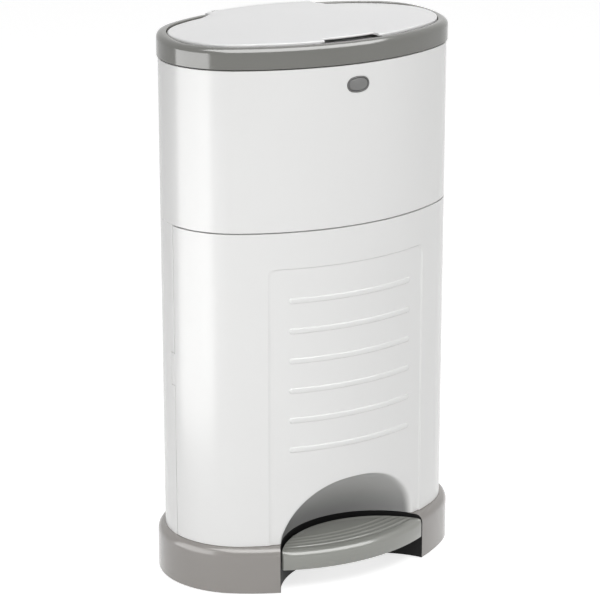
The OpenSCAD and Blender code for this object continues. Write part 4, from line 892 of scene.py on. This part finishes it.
# collar
collar = {
    "over": 1.3, "wall": 2.5, "low": 526.8, "roundLow": 541.5, "flatIn": -5.0, "rimIn": -8.6, "seat": 541.3, "under": 538.8,
    "rearLift": 3.3, "liftFrom": -25.0, "liftTo": 55.0, "capHalf": 64.3,
    "mouthIn": -21.5, "skirtOut": -3.7, "skirtIn": -6.2, "skirtLow": 519.5, "slotHalf": 14.0, "slotOut": -2.8,
}


def makeCollar(v):
    rim = heights["rim"]
    profile = np.concatenate([
        [(v["over"] - 0.35, v["low"]), (v["over"], v["low"] + 0.35), (v["over"], v["low"] + 2), (v["over"], v["roundLow"] - 1.5)],
        roundCorner(v["over"], v["roundLow"], v["flatIn"], rim, "z", 12),
        [(v["rimIn"] + 0.9, rim), (v["rimIn"] + 0.35, rim - 0.1), (v["rimIn"], rim - 0.5), (v["rimIn"], rim - 1.4), (v["rimIn"], v["seat"]),
         (v["mouthIn"], v["seat"]), (v["mouthIn"], v["under"]), (v["skirtIn"], v["under"]), (v["skirtIn"], v["skirtLow"]),
         (v["skirtOut"], v["skirtLow"]), (v["skirtOut"], v["under"]), (v["over"] - v["wall"], v["under"]), (v["over"] - v["wall"], v["low"])]])
    total = shell["total"]
    rearX = v["slotHalf"]
    cut = [total / 2 + sgn * (float(ovalFront(shell, at)) + e) for sgn in (-1, 1)
           for at, e in ((rearX, -0.01), (rearX, 0.01), (v["capHalf"], -0.6), (v["capHalf"], -0.2), (v["capHalf"], 0.2), (v["capHalf"], 0.6))]
    s = spaced(np.concatenate([[0, shell["half"], shell["half"] + shell["side"], total - shell["half"] - shell["side"], total - shell["half"]], cut, [total]]), 2.2)[:-1]
    off = np.repeat(profile[None, :, 0], len(s), 0)
    slot = np.abs(s - total / 2) < float(ovalFront(shell, rearX))
    off[slot] = np.maximum(off[slot], v["slotOut"])
    z = np.repeat(profile[None, :, 1], len(s), 0)
    # The rim climbs towards the rear, and drops to its own height where the lid's cap crosses it
    x, y, nx, ny = ovalPoint(shell, s)
    lift = v["rearLift"] * smoothStep(v["liftFrom"], v["liftTo"], y) * smoothStep(v["capHalf"] - 0.7, v["capHalf"] + 0.7, np.abs(x))
    z = z + lift[:, None] * smoothStep(v["roundLow"] - 6, rim - 2, z)
    grid = sweep(shell, s, np.stack([off, z], -1))
    addPiece("collarRing", "top_unit", "collar_grey", grid, [gridFaces(len(s), len(profile), True, True)], ["top_collar"],
             weld=0.0004, sharp=32)
    parts = []
    for side in (-1, 1):
        x0 = side * 49.4 - 5
        wallY = 97 - (54.4 ** 2) / (2 * shell["big"]) - 0.4
        parts.append(prismPart([(wallY - 1.5, 527.9), (101.9, 527.9), (104.2, 528.0), (104.2, 531.1), (wallY - 1.5, 537.5)], x0, x0 + 10))
        parts.append(lathePart([(2.05, x0), (4.5, x0), (4.5, x0 + 10), (2.05, x0 + 10)], 40, "x", (0, 104.2, 527.5)))
        for k in (0, 2):
            a = side * (16 + 9.4 * k)
            x0 = min(a, a + side * 9)
            wallY = 97 - ((16 + 9 * (k + 1)) ** 2) / (2 * shell["big"]) + 0.4
            parts.append(prismPart([(wallY - 1, 532), (102.5, 541.9), (100.0, 545.5), (wallY - 1, 539)], x0, x0 + 9))
            parts.append(lathePart([(1.65, x0), (3.6, x0), (3.6, x0 + 9), (1.65, x0 + 9)], 40, "x", (0, 102.5, 545.5)))
        x0 = side * 10 - 3
        parts.append(prismPart([(-87.5, 500), (-87.5, 539.2), (-85.0, 539.2), (-85.0, 503.5), (-81.0, 503.5), (-81.0, 500)], x0, x0 + 6))
    addPiece("collarHinges", "top_unit", "collar_grey", *mergeParts(parts), ["top_collar"], recalc=True)


makeCollar(collar)
print("stage: collar made")


# lid
lid = {
    "edgeIn": -9.6, "edgeZ": 549.2, "skin": 2.4, "skirtLow": 542.9, "edgeWide": 2.2, "edgeHigh": 1.3,
    "slotHalf": 32.0, "slotIn": -16.8, "slotRound": 2.5, "slotLip": 6.0, "lipSkin": 0.9, "capHalf": 63.0, "capOut": -1.8, "capLow": 547.5,
    "capFrontY": 56.0, "capFrontZ": 550.3, "capRearY": 92.2, "capRearZ": 552.2,
}


def lidEdge(v, s):
    # Offset of the lid's edge from the body's outline, and where its side wall ends below
    x, y, nx, ny = ovalPoint(shell, s)
    ax = np.abs(x)
    off = np.full(s.shape, v["edgeIn"])
    low = np.full(s.shape, v["skirtLow"])
    end = np.clip((ax - (v["slotHalf"] - v["slotRound"])) / v["slotRound"], 0, 1)
    deep = (v["slotIn"] - v["edgeIn"]) * np.sqrt(1 - end ** 2)
    front = (y < 0) & (ax < v["slotHalf"])
    off = np.where(front, v["edgeIn"] + deep, off)
    rear = (y > 0) & (ax < v["capHalf"] + 2)
    t = smoothStep(v["capHalf"] + 1.2, v["capHalf"] - 1.2, ax)
    off = np.where(rear, v["edgeIn"] + (v["capOut"] - v["edgeIn"]) * t, off)
    low = np.where(rear, v["skirtLow"] + (v["capLow"] - v["skirtLow"]) * t, low)
    lip = np.clip((ax - v["slotHalf"]) / v["slotLip"], 0, 1)      # the side wall stays short just past the slot
    low = np.where((y < 0) & (lip < 1), v["skirtLow"] + (v["edgeZ"] - v["lipSkin"] - v["skirtLow"]) * np.sqrt(1 - lip ** 2), low)
    return off, low


def lidTop(v, x, y):
    # Dome falling with x^2 and y^2, and over the hinge a raised cap that blends out of it
    a, b = 142.65, 87.4
    rise = heights["top"] - v["edgeZ"]
    dome = heights["top"] - rise * (x / a) ** 2 - rise * (y / b) ** 2
    cap = v["capFrontZ"] + (y - v["capFrontY"]) * (v["capRearZ"] - v["capFrontZ"]) / (v["capRearY"] - v["capFrontY"])
    raised = softMax(cap - dome, 0.0, 3.0) - 0.6
    return dome + np.maximum(raised, 0) * smoothStep(v["capHalf"] + 12, v["capHalf"] - 6, np.abs(x))


def makeLid(v):
    quarter, total = shell["total"] / 4, shell["total"]
    sh, ch = float(ovalFront(shell, v["slotHalf"])), float(ovalFront(shell, v["capHalf"]))
    fine = [sgn * (sh - d) for sgn in (-1, 1) for d in (-0.6, 0.0, 0.05, 0.2, 0.5, 1.0, 1.7, 2.4, 3.2, 4.2)]
    fine += [sgn * (ch - d) for sgn in (-1, 1) for d in (-2.4, -1.8, -1.2, -0.8, -0.4, 0, 0.4, 0.8, 1.2, 1.8, 2.4, 3.4)]
    q = spaced(np.concatenate([[-quarter, -shell["half"], shell["half"], quarter], fine]), 2.6)
    m = len(q)
    ringS = np.concatenate([q, (total / 2 - q[::-1])[1:-1]])    # front from left to right, then the rear back again
    off, low = lidEdge(v, ringS)
    x, y, nx, ny = ovalPoint(shell, ringS)
    inner = off - v["edgeWide"]
    ex, ey = x + nx * inner, y + ny * inner
    n = len(ringS)
    rowsOut = []
    for a in np.linspace(0, math.pi / 2, 7):     # rounded edge
        o = inner + v["edgeWide"] * math.sin(a)
        px, py = x + nx * o, y + ny * o
        rowsOut.append(np.stack([px, py, lidTop(v, px, py) - v["edgeHigh"] * (1 - math.cos(a))], -1))
    px, py = x + nx * off, y + ny * off
    edgeZ = rowsOut[-1][:, 2]
    low = np.minimum(low, edgeZ - 0.9)
    rowsOut.append(np.stack([px, py, edgeZ - 0.4], -1))
    rowsOut.append(np.stack([px, py, low + 0.35], -1))
    px, py = x + nx * (off - 0.3), y + ny * (off - 0.3)
    rowsOut.append(np.stack([px, py, low], -1))
    px, py = x + nx * (off - v["skin"]), y + ny * (off - v["skin"])
    rowsOut.append(np.stack([px, py, low], -1))
    under = lidTop(v, px, py) - v["skin"] - 0.05
    rowsOut.append(np.stack([px, py, np.maximum(under, low)], -1))
    ring = np.stack(rowsOut, 1)
    k = ring.shape[1]
    # Sheets across the top and under the skin join each front column to the rear one
    back = np.concatenate([[0], np.arange(n - 1, m - 1, -1), [m - 1]])
    w = np.linspace(0, 1, 61)
    w = np.unique(np.round(np.concatenate([w, 1 - np.linspace(0, 0.12, 9)]), 5))[None, :]
    sheets = []
    for row, drop in ((0, 0.0), (k - 1, v["skin"] + 0.05)):
        fore, aft = ring[:m, row], ring[back, row]
        sx = fore[:, None, 0] * (1 - w) + aft[:, None, 0] * w
        sy = fore[:, None, 1] * (1 - w) + aft[:, None, 1] * w
        sz = lidTop(v, sx, sy) - drop
        sz[:, 0], sz[:, -1] = fore[:, 2], aft[:, 2]
        sheets.append(np.stack([sx, sy, sz], -1))
    nw = w.shape[1]
    f0 = gridFaces(m, nw)
    points, faces = mergeParts([(ring, [gridFaces(n, k, True)[:, ::-1]]), (sheets[0], [f0]), (sheets[1], [f0[:, ::-1]])])
    addPiece("lidShell", "lid", "lid_white", points, faces, ["lid_shell"], weld=0.004, recalc=True, sharp=40)
    parts = []
    for side in (-1, 1):
        a = side * 25.4
        x0 = min(a, a + side * 9)
        parts.append(prismPart([(87.0, 547.6), (99.3, 546.5), (102.5, 545.5), (103.5, 548.7), (89.0, 551.2)], x0, x0 + 9))
        parts.append(lathePart([(1.65, x0), (3.6, x0), (3.6, x0 + 9), (1.65, x0 + 9)], 40, "x", (0, 102.5, 545.5)))
        x0 = 9 if side > 0 else -12
        parts.append(prismPart([(85.5, 548.5), (85.5, 534.6), (89.5, 532.6), (93.0, 534.6), (93.2, 545.0), (93.2, 548.5)], x0, x0 + 3))
    addPiece("lidArms", "lid", "lid_white", *mergeParts(parts), ["lid_shell"], recalc=True)


makeLid(lid)
print("stage: lid made")


# springs, coiled inside their parts' boxes
springs = {
    # node: joint, axis (0 to 2), wire radius, turns, how far the joint shortens it
    "return_spring": ("rod_slide", 2, 0.7, 9, 21.9),
    "button_spring": ("button_slide", 1, 0.4, 3, 4.0),
    "latch_spring": ("latch_slide", 0, 0.5, 4, 3.0),
}


def makeSpring(node, joint, k, wire, turns, travel):
    # Helix inside the part's own box: point = centre + (R + w cos b) radial(a) + (h(t) + w sin b) along, a = 2 pi n t,
    # with the climb h(t) slightly eased at both ends
    low, high = np.array(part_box(node)) * 1000
    length = high[k] - low[k]
    side = [(k + 1) % 3, (k + 2) % 3]
    radius = (high[side[0]] - low[side[0]]) / 2 - wire
    t = np.linspace(0, 1, 24 * turns + 1)[:, None]
    a, b = 2 * math.pi * turns * t, np.linspace(0, 2 * math.pi, 9)[None, :-1]
    climb = 0.9 * t + 0.1 * smoothStep(0, 1, t)
    rings = np.zeros((len(t), 8, 3))
    rings[..., side[0]] = (low[side[0]] + high[side[0]]) / 2 + (radius + wire * np.cos(b)) * np.cos(a)
    rings[..., side[1]] = (low[side[1]] + high[side[1]]) / 2 + (radius + wire * np.cos(b)) * np.sin(a)
    rings[..., k] = low[k] + wire + (length - 2 * wire) * climb + wire * np.sin(b)
    piece = addPiece(node.split("_")[0] + "Coil", "body", "steel", *mergeParts([tubePart(rings)]), [node], recalc=True, sharp=60)
    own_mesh(piece)


for node, values in springs.items():
    makeSpring(node, *values)
print("stage: springs made")


# finishes of the parts that stay as they are
slotOf = {row["node"]: row["material_slot"] for row in frame["record"]["subparts"]}
for node, slotName in slotOf.items():
    obj = bpy.data.objects.get(node)
    if obj is None or obj.type != "MESH":
        continue
    obj.data.materials.clear()
    # Painted shade: the pedal lever, steel by its slot, gets the dark grey finish where it lies in the plinth's shade
    obj.data.materials.append(finishes["dark_steel" if node == "pedal_lever" else slotName])
print("stage: finishes set")
